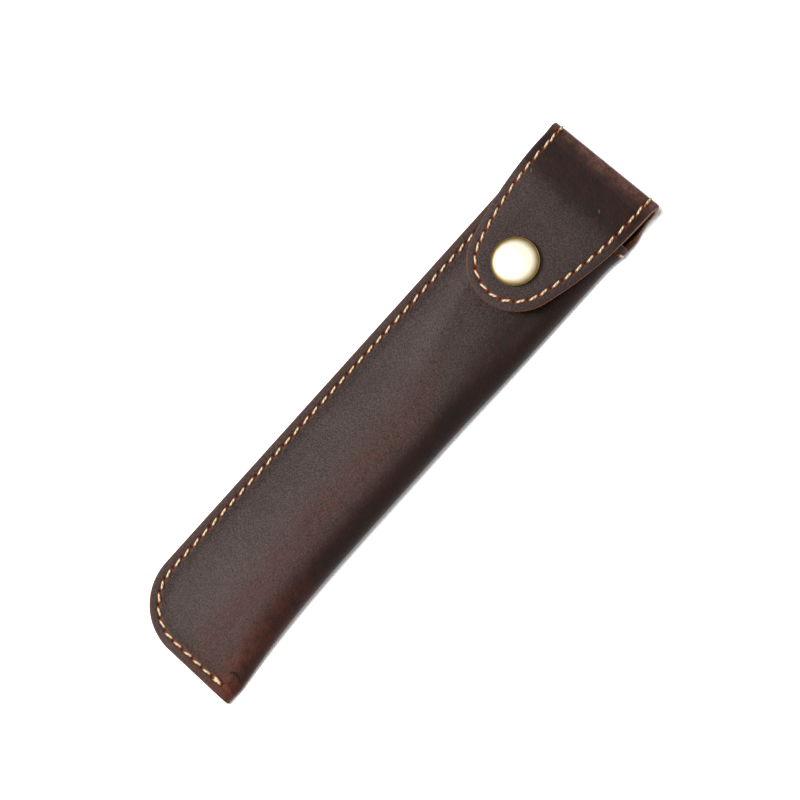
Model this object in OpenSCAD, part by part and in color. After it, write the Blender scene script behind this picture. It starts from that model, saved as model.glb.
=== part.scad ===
// Leather sleeve for one pen, closed by a flap with a press stud.
// One hide is folded down the right side, sewn down the left side and across the bottom,
// and carried on above the mouth as the back, the top bend and the flap.
// X runs from the sewn side to the folded side, Y from the bottom to the top bend, Z up from the table.

/* [Hide] */
// Thickness of the leather
hide_t = 1.8; // [1.5:0.1:1.9]
// Length from the bottom edge to the top bend
sleeve_length = 164.3; // [155:0.1:175]
// Width where the bottom is pressed flat
flat_w = 36.3; // [35:0.1:39]
// Outside height of the filled-out pocket
full_h = 10.6; // [9.6:0.1:11]
// Outside height of the pocket at its mouth
mouth_h = 8.1; // [8:0.1:8.8]
// Outside height of the fold at the bottom edge
fold_end_h = 4.4; // [4.2:0.1:5]
// Distance from the top bend to the mouth
mouth_drop = 13.5; // [12.5:0.1:16]
// Radius of the rounded bottom corner
corner_r = 15.5; // [12:0.5:17]
// Height of the sewn margins above the table
edge_lift = 0.5; // [0.4:0.05:0.6]
// Thickness of the glue line between the two sewn layers
glue_gap = 0.1; // [0.08:0.01:0.15]

/* [Pocket] */
// Width of the flat sewn margin
margin_w = 5; // [4.6:0.1:5.5]
// Length over which the pocket fills out from the bottom
fill_length = 65; // [50:1:75]
// Distance from the sewn edge to the crest, mid pocket
crest_from_edge = 22.5; // [20:0.5:23]
// Distance from the sewn edge to the crest, at the stud
mouth_crest_from_edge = 11.9; // [11:0.1:12.2]
// Length over which the crest drops towards the stud
crest_drop_length = 41; // [30:1:50]
// How much the fold stretches sideways above its middle, mid pocket
fold_stretch = 2.1; // [1.6:0.1:2.2]

/* [Flap] */
// Full width of the flap and of the back above the mouth
flap_w = 34; // [32:0.1:34.8]
// Offset of the flap's middle line from the middle of the flat width
flap_offset = -0.6; // [-0.8:0.1:-0.4]
// Distance from the top bend to the middle of the press stud
stud_drop = 34.4; // [32:0.1:36]
// Radius of the rounded tip
tip_r = 13; // [12:0.1:14]
// Distance of the tip circle's centre above the stud's centre
tip_offset = 0.7; // [0:0.1:1]
// Angle at which the tip circle passes into the sides
shoulder_angle = 16; // [12:1:20]
// Distance above the stud over which the sides widen
shoulder_length = 28; // [24:1:30]
// Gap between the flap and the front at the stud
stud_gap = 2.1; // [2.1:0.1:2.4]
// How far the flap's side edges bow down over the pocket
side_drop = 1.4; // [0.8:0.1:1.6]
// How far the flap's tip bows down
tip_drop = 0.6; // [0:0.1:0.8]
// Distance below the top bend over which the bow sets in
bow_length = 15; // [10:1:20]
// Number of strips that the top bend opens in
strips = 5; // [5]

/* [Stitches] */
// Distance from the cut edge to the stitch line
stitch_margin = 2.4; // [2:0.1:2.6]
// Length of one stitch, hole to hole
stitch_pitch = 3.45; // [3.2:0.05:3.8]
// Thickness of the thread
thread_d = 0.8; // [0.6:0.05:0.9]
// Length of thread that shows in one stitch
stitch_shown = 2.9; // [2.5:0.1:3]
// Length of thread that shows in one stitch inside the top bend
inner_shown = 1.9; // [1.6:0.1:2]
// Slant of a stitch to the stitch line
stitch_slant = 20; // [0:1:25]
// Depth of the thread's middle line below the leather's surface
stitch_sink = 0.1; // [0.05:0.01:0.15]
// Distance from the folded corner to the last bottom stitch
bottom_run_end = 4; // [3.5:0.1:6]

/* [Press stud] */
// Diameter of the cap
cap_d = 12.5; // [11.5:0.1:12.5]
// Height of the cap above the leather
cap_h = 2.3; // [2:0.1:2.6]
// Thickness of the drawn metal
sheet_t = 0.35; // [0.3:0.01:0.36]
// Radius of the cap's rolled rim
rim_r = 0.45; // [0.4:0.01:0.5]
// Outer radius of the tubular post under the cap
post_r = 1.7; // [1.6:0.05:1.8]
// Outer radius of the socket
socket_r = 4.8; // [4.5:0.1:5]
// Depth that the socket is pressed into the flap
socket_recess = 0.4; // [0.35:0.01:0.45]
// Gap between the socket's lip and the stud's flange
socket_clearance = 0.1; // [0.08:0.01:0.12]
// Radius of the spring wire
wire_r = 0.22; // [0.2:0.01:0.22]
// Radius of the stud's neck
neck_r = 1.85; // [1.8:0.01:1.9]
// Radius of the bead round the stud's head
bead_r = 0.42; // [0.38:0.01:0.42]
// Height of the bead's middle above the front
bead_rise = 1.4; // [1.3:0.05:1.5]
// Outer radius of the stud's flange
stud_flange_r = 4.6; // [4.3:0.1:4.8]
// Outer radius of the eyelet's flange inside the pocket
eyelet_flange_r = 4.3; // [4:0.1:4.5]
// Clearance of a post in its hole
post_clearance = 0.1; // [0.05:0.01:0.12]

/* [Hidden] */
$fn = 64;

hide_brown = [0.25, 0.17, 0.15];
thread_cream = [0.93, 0.82, 0.64];
brass = [0.86, 0.76, 0.5];
steel = [0.7, 0.68, 0.62];

// Outline of the sleeve
left_x = -flat_w / 2;
bottom_y = -sleeve_length / 2;
top_y = sleeve_length / 2;
mouth_y = top_y - mouth_drop;
corner = [left_x + corner_r, bottom_y + corner_r];
flap_x = flap_offset;
flap_left = flap_x - flap_w / 2;
flap_right = flap_x + flap_w / 2;
stud_y = top_y - stud_drop;

// Levels from the table up
flat_h = 2 * hide_t + glue_gap;
flap_under = mouth_h + stud_gap;
flap_top = flap_under + hide_t;
bend_r = (flap_top - edge_lift) / 2;
bend_inner_r = bend_r - hide_t;
bend_y = top_y - bend_r;
bend_z = edge_lift + bend_r;
strip_angle = 180 / strips;

// Lines across the hide: rows up the sleeve and columns round it
corner_rows = 10;
body_rows = 13;
mouth_rows = 4;
back_rows = 5;
margin_steps = 4;
back_steps = 3;
fold_low_steps = 5;
fold_high_steps = 6;
rise_steps = 8;
crest_land = 0.6;
rise_skew = 0.8;
rise_slack = 0.6;
fill_power = 4;
flat_pad = 7;
drop_end = stud_y - flat_pad;

function lerp(a, b, t) = a + (b - a) * t;
function clamp01(t) = min(1, max(0, t));
function smooth(t) = let (c = clamp01(t)) c * c * (3 - 2 * c);
function unit(v) = v / norm(v);
function quad(a, b, c, d) = [[a, b, c], [a, c, d]];

// Left edge of the sleeve's outline at height y, round the bottom corner
function edge_x(y) = y >= corner.y ? left_x
    : corner.x - sqrt(max(0, pow(corner_r, 2) - pow(corner.y - y, 2)));

// Distance of a point from the sewn outline
function edge_distance(x, y) = x < corner.x && y < corner.y
    ? corner_r - norm([x - corner.x, y - corner.y])
    : min(x - left_x, y - bottom_y);

// How far the back stands off the table
function lift(x, y) = edge_lift * (1 - smooth(edge_distance(x, y) / margin_w));

// Outside height of the pocket at its crest
function crest_drop(y) = smooth((y - drop_end + crest_drop_length) / crest_drop_length);
function fill(y) = 1 - pow(1 - clamp01((y - bottom_y - margin_w) / fill_length), fill_power);
function tube_h(y) = lerp(fold_end_h, lerp(full_h, mouth_h, crest_drop(y)), fill(y));
function fold_r(y) = (tube_h(y) - hide_t) / 2;
function crest_x(y) = left_x + lerp(crest_from_edge, mouth_crest_from_edge, crest_drop(y));

// Half of the fold above its middle: a quarter of an ellipse that is wider than it is high
function fold_w(y) = fold_r(y) * lerp(fold_stretch, 1, crest_drop(y));
function quarter_length(a, b) = PI / 4 * (3 * (a + b) - sqrt((3 * a + b) * (a + 3 * b)));

// The hide's girth stays the same, so its fold draws in as the pocket fills out
function rise_extra(y) = rise_slack * pow(tube_h(y) - flat_h, 2) / (crest_x(y) - left_x - margin_w);
function round_length(y) = quarter_length(fold_r(y), fold_r(y)) + quarter_length(fold_w(y), fold_r(y))
    + fold_r(y) - fold_w(y);
girth = 2 * flat_w - fold_end_h + round_length(bottom_y);
function fold_x(y) = left_x + (girth - round_length(y) - rise_extra(y)) / 2;

// Middle surface of the front above the table
function rise(x, y) = let (start = edge_x(y) + margin_w)
    (1 - cos(180 * pow(clamp01((x - start) / (crest_x(y) - start)), rise_skew))) / 2;
function front_mid(x, y) = lift(x, y) + 1.5 * hide_t + glue_gap + (tube_h(y) - flat_h) * rise(x, y);

// Columns of one ring round the pocket, each as [x, z] on the middle surface
margins = [for (i = [0:margin_steps]) i * margin_w / margin_steps];
function back_columns(y) = let (e = edge_x(y)) concat(
    [for (m = margins) e + m],
    [for (i = [1:back_steps]) lerp(e + margin_w, fold_x(y), i / back_steps)]);
fold_step = (flap_right - fold_x(mouth_y)) / (PI * fold_r(mouth_y));
function fold_point(f, y) = let (x_c = fold_x(y), r = fold_r(y), w = f < 0.5 ? r : fold_w(y))
    [x_c + r - w + w * sin(180 * f), lift(x_c, y) + hide_t / 2 + r * (1 - cos(180 * f))];
fold_columns = concat(
    [for (i = [1:fold_low_steps]) fold_step * i / fold_low_steps],
    [for (i = [1:fold_high_steps]) lerp(fold_step, 1, i / fold_high_steps)]);
function front_columns(y) = let (e = edge_x(y), c = crest_x(y)) concat(
    [lerp(c + crest_land, fold_x(y) + fold_r(y) - fold_w(y), 0.5), c + crest_land, c],
    [for (i = [1:rise_steps]) lerp(c, e + margin_w, i / rise_steps)],
    [for (i = [1:margin_steps]) e + margins[margin_steps - i]]);
function ring(y) = concat(
    [for (x = back_columns(y)) [x, lift(x, y) + hide_t / 2]],
    [for (f = fold_columns) fold_point(f, y)],
    [for (x = front_columns(y)) [x, front_mid(x, y)]]);

// Columns of the back above the mouth, where the curl of the fold opens out to flat
step_column = margin_steps + back_steps + fold_low_steps;
function back_rise(y) = smooth((y - mouth_y) / (bend_y - mouth_y));
function back_edge(y) = lerp(left_x, flap_left, back_rise(y));
function back_lift(x, y) = let (r = back_rise(y)) lerp(lift(x, mouth_y), edge_lift, r);
function curl(s, y) = let (k = (1 - back_rise(y)) / fold_r(mouth_y), a = k * s * 180 / PI)
    k < 0.0001 ? [s, 0] : [sin(a) / k, (1 - cos(a)) / k];
function curl_length(f) = f * PI * fold_r(mouth_y);
function back_ring(y) = let (x_c = fold_x(mouth_y), e = back_edge(y)) concat(
    [for (x = back_columns(mouth_y))
        [lerp(e, x_c, (x - left_x) / (x_c - left_x)), back_lift(x, y) + hide_t / 2]],
    [for (i = [0:fold_low_steps - 1]) let (c = curl(curl_length(fold_columns[i]), y))
        [x_c + c.x, back_lift(x_c, y) + hide_t / 2 + c.y]]);

// Unit normals of a ring, towards the outside of the pocket
function outward(points) = [for (i = [0:len(points) - 1])
    let (a = points[max(0, i - 1)], b = points[min(len(points) - 1, i + 1)], t = unit(b - a)) [t.y, -t.x]];
function side_points(points, y, away) = let (n = outward(points))
    [for (i = [0:len(points) - 1]) let (p = points[i] + away * n[i]) [p.x, y, p.y]];

pocket_ys = concat(
    [for (i = [0:corner_rows]) bottom_y + corner_r * (1 - cos(90 * i / corner_rows))],
    [for (i = [1:body_rows]) lerp(corner.y, drop_end, i / body_rows)],
    [for (i = [1:mouth_rows]) lerp(drop_end, mouth_y, i / mouth_rows)]);
back_ys = [for (i = [1:back_rows]) lerp(mouth_y, bend_y, i / back_rows)];

// Faces of the sheet: an outer and an inner skin, with a rim along every cut edge
module hide_sheet() {
    outer = concat([for (y = pocket_ys) each side_points(ring(y), y, hide_t / 2)],
        [for (y = back_ys) each side_points(back_ring(y), y, hide_t / 2)]);
    inner = concat([for (y = pocket_ys) each side_points(ring(y), y, -hide_t / 2)],
        [for (y = back_ys) each side_points(back_ring(y), y, -hide_t / 2)]);
    wide = len(ring(mouth_y));
    narrow = step_column + 1;
    rows = len(pocket_ys);
    last = rows + back_rows - 1;
    half = len(outer);
    function at(j, i) = j < rows ? j * wide + i : rows * wide + (j - rows) * narrow + i;
    function columns(j) = j < rows - 1 ? wide - 2 : step_column - 1;
    faces = concat(
        [for (j = [0:last - 1], i = [0:columns(j)])
            each quad(at(j, i), at(j, i + 1), at(j + 1, i + 1), at(j + 1, i))],
        [for (j = [0:last - 1], i = [0:columns(j)])
            each quad(half + at(j, i), half + at(j + 1, i), half + at(j + 1, i + 1), half + at(j, i + 1))],
        [for (i = [0:wide - 2]) each quad(at(0, i), half + at(0, i), half + at(0, i + 1), at(0, i + 1))],
        [for (i = [step_column:wide - 2]) let (j = rows - 1)
            each quad(at(j, i), at(j, i + 1), half + at(j, i + 1), half + at(j, i))],
        [for (i = [0:step_column - 1])
            each quad(at(last, i), at(last, i + 1), half + at(last, i + 1), half + at(last, i))],
        [for (j = [0:last - 1]) each quad(at(j, 0), at(j + 1, 0), half + at(j + 1, 0), half + at(j, 0))],
        [for (j = [0:rows - 2]) let (i = wide - 1)
            each quad(at(j, i), half + at(j, i), half + at(j + 1, i), at(j + 1, i))],
        [for (j = [rows - 1:last - 1]) let (i = step_column)
            each quad(at(j, i), half + at(j, i), half + at(j + 1, i), at(j + 1, i))]);
    polyhedron(concat(outer, inner), faces);
}

// Half width of the flap at a distance p above the stud
shoulder_p = tip_offset - tip_r * sin(shoulder_angle);
shoulder_w = tip_r * cos(shoulder_angle);
function side_w(p) = let (q = clamp01((p - shoulder_p) / (shoulder_length - shoulder_p)))
    lerp(shoulder_w, flap_w / 2, 1 - pow(1 - q, 2));

// Top surface of the flap: level round the stud, bowed down at the sides and the tip
tip_y = stud_y + tip_offset - tip_r;
function flap_z(x, y) = flap_top
    - side_drop * pow(max(0, abs(x - flap_x) - flat_pad) / (flap_w / 2 - flat_pad), 2)
        * smooth((bend_y - y) / bow_length)
    - tip_drop * pow(max(0, drop_end - y) / (drop_end - tip_y), 2);

side_rows = 6;
tip_rows = 9;
tip_last_angle = 86;
pad_steps = 3;
wing_steps = 4;
flap_rows = concat(
    [for (i = [0:side_rows - 1])
        let (p = lerp(bend_y - stud_y, shoulder_p, i / side_rows)) [stud_y + p, side_w(p)]],
    [for (i = [0:tip_rows]) let (a = lerp(shoulder_angle, tip_last_angle, i / tip_rows))
        [stud_y + tip_offset - tip_r * sin(a), tip_r * cos(a)]]);
function flap_columns(w) = let (m = min(flat_pad, 0.6 * w)) concat(
    [for (i = [0:wing_steps - 1]) lerp(-w, -m, i / wing_steps)],
    [for (i = [0:2 * pad_steps]) lerp(-m, m, i / (2 * pad_steps))],
    [for (i = [1:wing_steps]) lerp(m, w, i / wing_steps)]);

module flap_sheet() {
    top = [for (r = flap_rows, x = flap_columns(r[1])) [flap_x + x, r[0], flap_z(flap_x + x, r[0])]];
    under = [for (p = top) [p.x, p.y, p.z - hide_t]];
    half = len(top);
    wide = len(flap_columns(flap_w));
    last = len(flap_rows) - 1;
    function at(j, i) = j * wide + i;
    faces = concat(
        [for (j = [0:last - 1], i = [0:wide - 2])
            each quad(at(j, i), at(j, i + 1), at(j + 1, i + 1), at(j + 1, i))],
        [for (j = [0:last - 1], i = [0:wide - 2])
            each quad(half + at(j, i), half + at(j + 1, i), half + at(j + 1, i + 1), half + at(j, i + 1))],
        [for (i = [0:wide - 2]) each quad(at(0, i), half + at(0, i), half + at(0, i + 1), at(0, i + 1))],
        [for (i = [0:wide - 2]) each quad(at(last, i), at(last, i + 1), half + at(last, i + 1), half + at(last, i))],
        [for (j = [0:last - 1]) each quad(at(j, 0), at(j + 1, 0), half + at(j + 1, 0), half + at(j, 0))],
        [for (j = [0:last - 1]) let (i = wide - 1)
            each quad(at(j, i), half + at(j, i), half + at(j + 1, i), at(j + 1, i))]);
    polyhedron(concat(top, under), faces);
}

// One strip of the top bend: a sector of the bent sheet, as wide as the flap
module bend_strip(k) {
    from = -90 + strip_angle * (k - 1);
    reach = 2 * bend_r;
    color(hide_brown)
    translate([flap_left, bend_y, bend_z]) rotate([90, 0, 90]) linear_extrude(flap_w) intersection() {
        difference() {
            circle(bend_r);
            circle(bend_inner_r);
        }
        polygon([[0, 0], [cos(from), sin(from)] * reach,
            [cos(from + strip_angle / 2), sin(from + strip_angle / 2)] * reach,
            [cos(from + strip_angle), sin(from + strip_angle)] * reach]);
    }
}

// One stitch as it shows: a spindle of thread with its tips in the needle holes
module spindle(shown) {
    half = shown / 2;
    r = thread_d / 2;
    rotate([0, 90, 0]) rotate_extrude($fn = 24)
        polygon([[0, -half], [r, -0.4 * half], [r, 0.4 * half], [0, half]]);
}

// A stitch seated on a surface point p, along t, under the surface's normal n
module stitch(p, t, n, slant, shown = stitch_shown) {
    up = unit(n);
    along = unit(t - (t * up) * up);
    turned = along * cos(slant) + cross(up, along) * sin(slant);
    across = cross(up, turned);
    seat = p - stitch_sink * up;
    multmatrix([[turned.x, across.x, up.x, seat.x], [turned.y, across.y, up.y, seat.y],
        [turned.z, across.z, up.z, seat.z], [0, 0, 0, 1]]) spindle(shown);
}

// Stitches at an even pitch along a path, whose points each carry a surface point and a normal
function lengths(path, i = 1, sum = [0]) = i == len(path) ? sum
    : lengths(path, i + 1, concat(sum, [sum[i - 1] + norm(path[i][0] - path[i - 1][0])]));
function span_of(sums, s, i = 1) = i >= len(sums) - 1 || sums[i] > s ? i : span_of(sums, s, i + 1);
module stitch_run(path, slant) {
    sums = lengths(path);
    total = sums[len(sums) - 1];
    count = max(1, round(total / stitch_pitch));
    for (k = [0:count - 1]) {
        s = (k + 0.5) * total / count;
        i = span_of(sums, s);
        f = (s - sums[i - 1]) / (sums[i] - sums[i - 1]);
        stitch(lerp(path[i - 1][0], path[i][0], f), path[i][0] - path[i - 1][0],
            lerp(path[i - 1][1], path[i][1], f), slant);
    }
}

// The seam's stitch line: down the left side, round the corner and along the bottom
seam_top_y = mouth_y - 1;
seam_line = concat(
    [for (i = [0:12]) [left_x + stitch_margin, lerp(seam_top_y, corner.y, i / 12)]],
    [for (i = [1:12]) corner + (corner_r - stitch_margin) * [-cos(90 * i / 12), -sin(90 * i / 12)]],
    [for (i = [1:6]) [lerp(corner.x, left_x + flat_w - bottom_run_end, i / 6), bottom_y + stitch_margin]]);
function front_top(x, y) = front_mid(x, y) + hide_t / 2;
nudge = 0.1;
function front_normal(x, y) = unit([front_top(x - nudge, y) - front_top(x + nudge, y),
    front_top(x, y - nudge) - front_top(x, y + nudge), 2 * nudge]);
function back_normal(x, y) = unit([lift(x + nudge, y) - lift(x - nudge, y),
    lift(x, y + nudge) - lift(x, y - nudge), -2 * nudge]);
seam_front = [for (p = seam_line) [[p.x, p.y, front_top(p.x, p.y)], front_normal(p.x, p.y)]];
seam_back = [for (p = seam_line) [[p.x, p.y, lift(p.x, p.y)], back_normal(p.x, p.y)]];

// The stitch line along the mouth, over the fold and across the front
mouth_line_y = mouth_y - stitch_margin;
function mouth_path(away, sign) = let (r = ring(mouth_line_y), n = outward(r))
    [for (i = [step_column:len(r) - margin_steps]) let (p = r[i] + away * n[i])
        [[p.x, mouth_line_y, p.y], sign * [n[i].x, 0, n[i].y]]];

// The stitch lines up both edges of the back, above the mouth
back_line_ys = [for (i = [0:6]) lerp(mouth_y, bend_y, i / 6)];
function back_left_path(away, sign) = [for (y = back_line_ys)
    let (x = back_edge(y) + stitch_margin) [[x, y, back_lift(x, y) + hide_t / 2 + away], [0, 0, sign]]];
function back_right_path(away, sign) = [for (y = back_line_ys)
    let (s = curl_length(fold_step) - stitch_margin, c = curl(s, y),
        a = (1 - back_rise(y)) / fold_r(mouth_y) * s * 180 / PI,
        n = [-sin(a), 0, cos(a)], x_c = fold_x(mouth_y))
        [[x_c + c.x, y, back_lift(x_c, y) + hide_t / 2 + c.y] + away * n, sign * n]];

// The flap's stitch line: down one side, round the tip and up the other
flap_half_line = concat(
    [for (i = [0:8]) let (p = lerp(bend_y - stud_y, shoulder_p, i / 8)) [side_w(p) - stitch_margin, stud_y + p]],
    [for (i = [1:10]) let (a = lerp(shoulder_angle, 90, i / 10))
        [(tip_r - stitch_margin) * cos(a), stud_y + tip_offset - (tip_r - stitch_margin) * sin(a)]]);
flap_line = concat(flap_half_line,
    [for (i = [1:len(flap_half_line) - 1]) let (p = flap_half_line[len(flap_half_line) - 1 - i]) [-p.x, p.y]]);
function flap_normal(x, y) = unit([flap_z(x - nudge, y) - flap_z(x + nudge, y),
    flap_z(x, y - nudge) - flap_z(x, y + nudge), 2 * nudge]);
function flap_path(away, sign) = [for (p = flap_line) let (x = flap_x + p.x)
    [[x, p.y, flap_z(x, p.y) - away], sign * flap_normal(x, p.y)]];

// Needle and bobbin stitches of one bend strip, one on each side of the strip
module bend_thread(k) {
    a = -90 + strip_angle * (k - 0.5);
    out = [0, cos(a), sin(a)];
    along = [0, -sin(a), cos(a)];
    centre = [0, bend_y, bend_z];
    color(thread_cream)
    for (side = [-1, 1]) {
        x = flap_x + side * (flap_w / 2 - stitch_margin);
        stitch(centre + [x, 0, 0] + (bend_r - stitch_sink) * out, along, out, stitch_slant);
        stitch(centre + [x, 0, 0] + bend_inner_r * out, along, -out, stitch_slant, inner_shown);
    }
}

// Levels of the press stud
socket_top = flap_under + socket_recess;
flange_top = mouth_h + sheet_t;
lip_z = flange_top + socket_clearance;
lip_t = 0.2;
spring_play = 0.01;
grip_play = 0.06;
spring_z = lip_z + lip_t + wire_r + spring_play;
spring_r = neck_r + wire_r + grip_play;
bead_x = neck_r - 0.1;
bead_z = mouth_h + bead_rise;
roll_t = 0.25;
eyelet_r = 1.15;
eyelet_bore = 0.8;
head_t = 0.25;
lip_clearance = 0.2;
socket_mouth_r = spring_r + wire_r + lip_clearance;
rolled_r = bead_x - bead_r;
rolled_t = 0.2;

module hide() {
    color(hide_brown) difference() {
        hide_sheet();
        translate([flap_x, stud_y, mouth_h - 2 * hide_t]) cylinder(r = eyelet_r + post_clearance, h = 3 * hide_t);
    }
}
module flap() {
    color(hide_brown) difference() {
        flap_sheet();
        translate([flap_x, stud_y, flap_under - hide_t]) cylinder(r = post_r + post_clearance, h = 3 * hide_t);
        translate([flap_x, stud_y, flap_under - hide_t])
            cylinder(r = socket_r + post_clearance, h = hide_t + socket_recess);
    }
}
module turned() {
    translate([flap_x, stud_y, 0]) rotate_extrude() children();
}

// Domed cap: a drawn shell with a rolled rim
module cap() {
    shell_t = sheet_t + 0.1;
    dome_h = cap_h - rim_r;
    dome_a = cap_d / 2 - rim_r / 3;
    dome_r = (pow(dome_a, 2) + pow(dome_h, 2)) / (2 * dome_h);
    dome_c = flap_top + cap_h - dome_r;
    color(brass) turned() {
        difference() {
            intersection() {
                translate([0, dome_c]) circle(dome_r, $fn = 200);
                translate([0, flap_top + rim_r]) square([cap_d / 2, cap_h]);
            }
            translate([0, dome_c]) circle(dome_r - shell_t, $fn = 200);
        }
        translate([cap_d / 2 - rim_r, flap_top + rim_r]) circle(rim_r);
    }
}

// Post of the cap: a flange inside the cap and a tube rolled over inside the socket
module cap_post() {
    flange_r = cap_d / 2 - 2 * rim_r - 0.05;
    tube_low = socket_top - sheet_t - roll_t;
    color(steel) turned() {
        translate([0, flap_top]) square([flange_r, sheet_t]);
        translate([post_r - sheet_t, tube_low]) square([sheet_t, flap_top - tube_low]);
        translate([post_r - sheet_t, tube_low]) square([2 * sheet_t + rolled_t, roll_t]);
    }
}

// Socket: a cup with its lip turned in to hold the spring
module socket() {
    wall = sheet_t;
    round_r = wall;
    color(steel) turned() {
        translate([post_r + 0.05, socket_top - sheet_t]) square([socket_r - post_r - 0.05, sheet_t]);
        translate([socket_r - wall, lip_z + round_r]) square([wall, socket_top - lip_z - round_r]);
        translate([socket_mouth_r, lip_z]) square([socket_r - round_r - socket_mouth_r, lip_t]);
        intersection() {
            translate([socket_r - round_r, lip_z + round_r]) circle(round_r);
            translate([socket_r - round_r, lip_z]) square(round_r);
        }
    }
}

// Spring of the socket: a ring of wire with a gap, which grips the stud's neck
module socket_spring() {
    color(steel) translate([flap_x, stud_y, spring_z]) rotate([0, 0, 15])
        rotate_extrude(angle = 330) translate([spring_r, 0]) circle(wire_r);
}

// Stud: a flange on the leather and a hollow head with a bead
module stud() {
    color(steel) turned() {
        translate([eyelet_r + 0.05, mouth_h]) square([stud_flange_r - eyelet_r - 0.05, sheet_t]);
        translate([neck_r - sheet_t, mouth_h]) square([sheet_t, bead_z - mouth_h]);
        translate([bead_x, bead_z]) circle(bead_r);
        translate([eyelet_r + 0.05, bead_z - head_t]) square([bead_x - eyelet_r - 0.05, 1.8 * head_t]);
    }
}

// Eyelet of the stud: a flange inside the pocket and a post rolled over on the stud's head
module stud_eyelet() {
    seat = mouth_h - hide_t;
    head = bead_z + 0.8 * head_t;
    color(steel) turned() {
        translate([eyelet_bore, seat - sheet_t]) square([eyelet_flange_r - eyelet_bore, sheet_t]);
        translate([eyelet_bore, seat - sheet_t]) square([eyelet_r - eyelet_bore, head - seat + sheet_t]);
        translate([eyelet_bore, head]) square([rolled_r - eyelet_bore, rolled_t]);
    }
}

module seam_needle_thread() { color(thread_cream) stitch_run(seam_front, stitch_slant); }
module seam_bobbin_thread() { color(thread_cream) stitch_run(seam_back, stitch_slant); }
module seam_backstitch() {
    x = left_x + flat_w - bottom_run_end - 1.2 * stitch_pitch;
    y = bottom_y + stitch_margin + 1.6 * thread_d;
    color(thread_cream) stitch([x, y, front_top(x, y)], [1, 0, 0], front_normal(x, y), -stitch_slant / 2);
}
module mouth_needle_thread() { color(thread_cream) stitch_run(mouth_path(hide_t / 2, 1), stitch_slant); }
module mouth_bobbin_thread() { color(thread_cream) stitch_run(mouth_path(-hide_t / 2, -1), stitch_slant); }
module back_needle_thread() {
    color(thread_cream) {
        stitch_run(back_left_path(-hide_t / 2, -1), stitch_slant);
        stitch_run(back_right_path(-hide_t / 2, -1), stitch_slant);
    }
}
module back_bobbin_thread() {
    color(thread_cream) {
        stitch_run(back_left_path(hide_t / 2, 1), stitch_slant);
        stitch_run(back_right_path(hide_t / 2, 1), stitch_slant);
    }
}
module flap_needle_thread() { color(thread_cream) stitch_run(flap_path(0, 1), stitch_slant); }
module flap_bobbin_thread() { color(thread_cream) stitch_run(flap_path(hide_t, -1), stitch_slant); }

hide();
for (k = [1:strips]) bend_strip(k);
flap();
cap();
cap_post();
socket();
socket_spring();
stud();
stud_eyelet();
seam_needle_thread();
seam_bobbin_thread();
seam_backstitch();
mouth_needle_thread();
mouth_bobbin_thread();
back_needle_thread();
back_bobbin_thread();
for (k = [1:strips]) bend_thread(k);
flap_needle_thread();
flap_bobbin_thread();
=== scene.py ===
# %% [markdown]
# A slim sleeve for one pen, cut from a single piece of oiled leather. The leather is folded
# down the right side, sewn down the left side and across the bottom, and above the mouth it
# runs on as the back, the top bend and the flap. A domed press stud holds the flap down.
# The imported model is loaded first: it is the fixed frame that every piece here is built on.

import math

import bmesh
import bpy
import numpy as np
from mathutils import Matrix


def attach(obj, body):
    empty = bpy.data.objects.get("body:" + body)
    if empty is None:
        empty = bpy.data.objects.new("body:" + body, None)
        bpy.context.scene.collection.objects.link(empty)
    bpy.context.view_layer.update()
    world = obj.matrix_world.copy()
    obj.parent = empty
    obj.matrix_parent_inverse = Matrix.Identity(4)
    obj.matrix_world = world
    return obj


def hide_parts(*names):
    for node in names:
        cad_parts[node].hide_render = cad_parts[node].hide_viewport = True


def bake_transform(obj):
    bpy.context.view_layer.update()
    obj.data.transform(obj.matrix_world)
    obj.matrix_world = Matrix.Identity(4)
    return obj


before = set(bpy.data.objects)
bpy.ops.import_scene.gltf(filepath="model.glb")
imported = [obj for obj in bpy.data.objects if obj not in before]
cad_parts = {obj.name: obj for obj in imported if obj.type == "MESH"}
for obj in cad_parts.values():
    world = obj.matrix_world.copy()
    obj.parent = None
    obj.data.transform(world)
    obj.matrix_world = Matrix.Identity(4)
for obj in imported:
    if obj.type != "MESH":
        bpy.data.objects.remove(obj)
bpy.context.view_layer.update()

# %% [markdown]
# Blender works in metres, but a leather worker measures in millimetres. So all shapes are
# worked out in millimetres and turned into metres when a mesh is made. The sizes are those
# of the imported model. X runs from the sewn side to the folded side, Y from the bottom to the
# top bend, and Z up from the table.

# %% Sizes of the sleeve, in millimetres
MM = 0.001
leather_t = 1.8
sleeve_length = 164.3
flat_w = 36.3
full_h = 10.6
mouth_h = 8.1
fold_end_h = 4.4
mouth_drop = 13.5
corner_r = 15.5
edge_lift = 0.5
glue_gap = 0.1
margin_w = 5.0
fill_length = 65.0
crest_from_edge = 22.5
mouth_crest_from_edge = 11.9
crest_drop_length = 41.0
fold_stretch = 2.1
flap_w = 34.0
flap_x = -0.6
stud_drop = 34.4
tip_r = 13.0
tip_offset = 0.7
shoulder_angle = math.radians(16)
shoulder_length = 28.0
stud_gap = 2.1
side_drop = 1.4
tip_drop = 0.6
bow_length = 15.0
flat_pad = 7.0
stitch_margin = 2.4
stitch_pitch = 3.45
strips = 5
rise_shortens = 0.6
corner_share, s_lean = 0.88, 0.8

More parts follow.
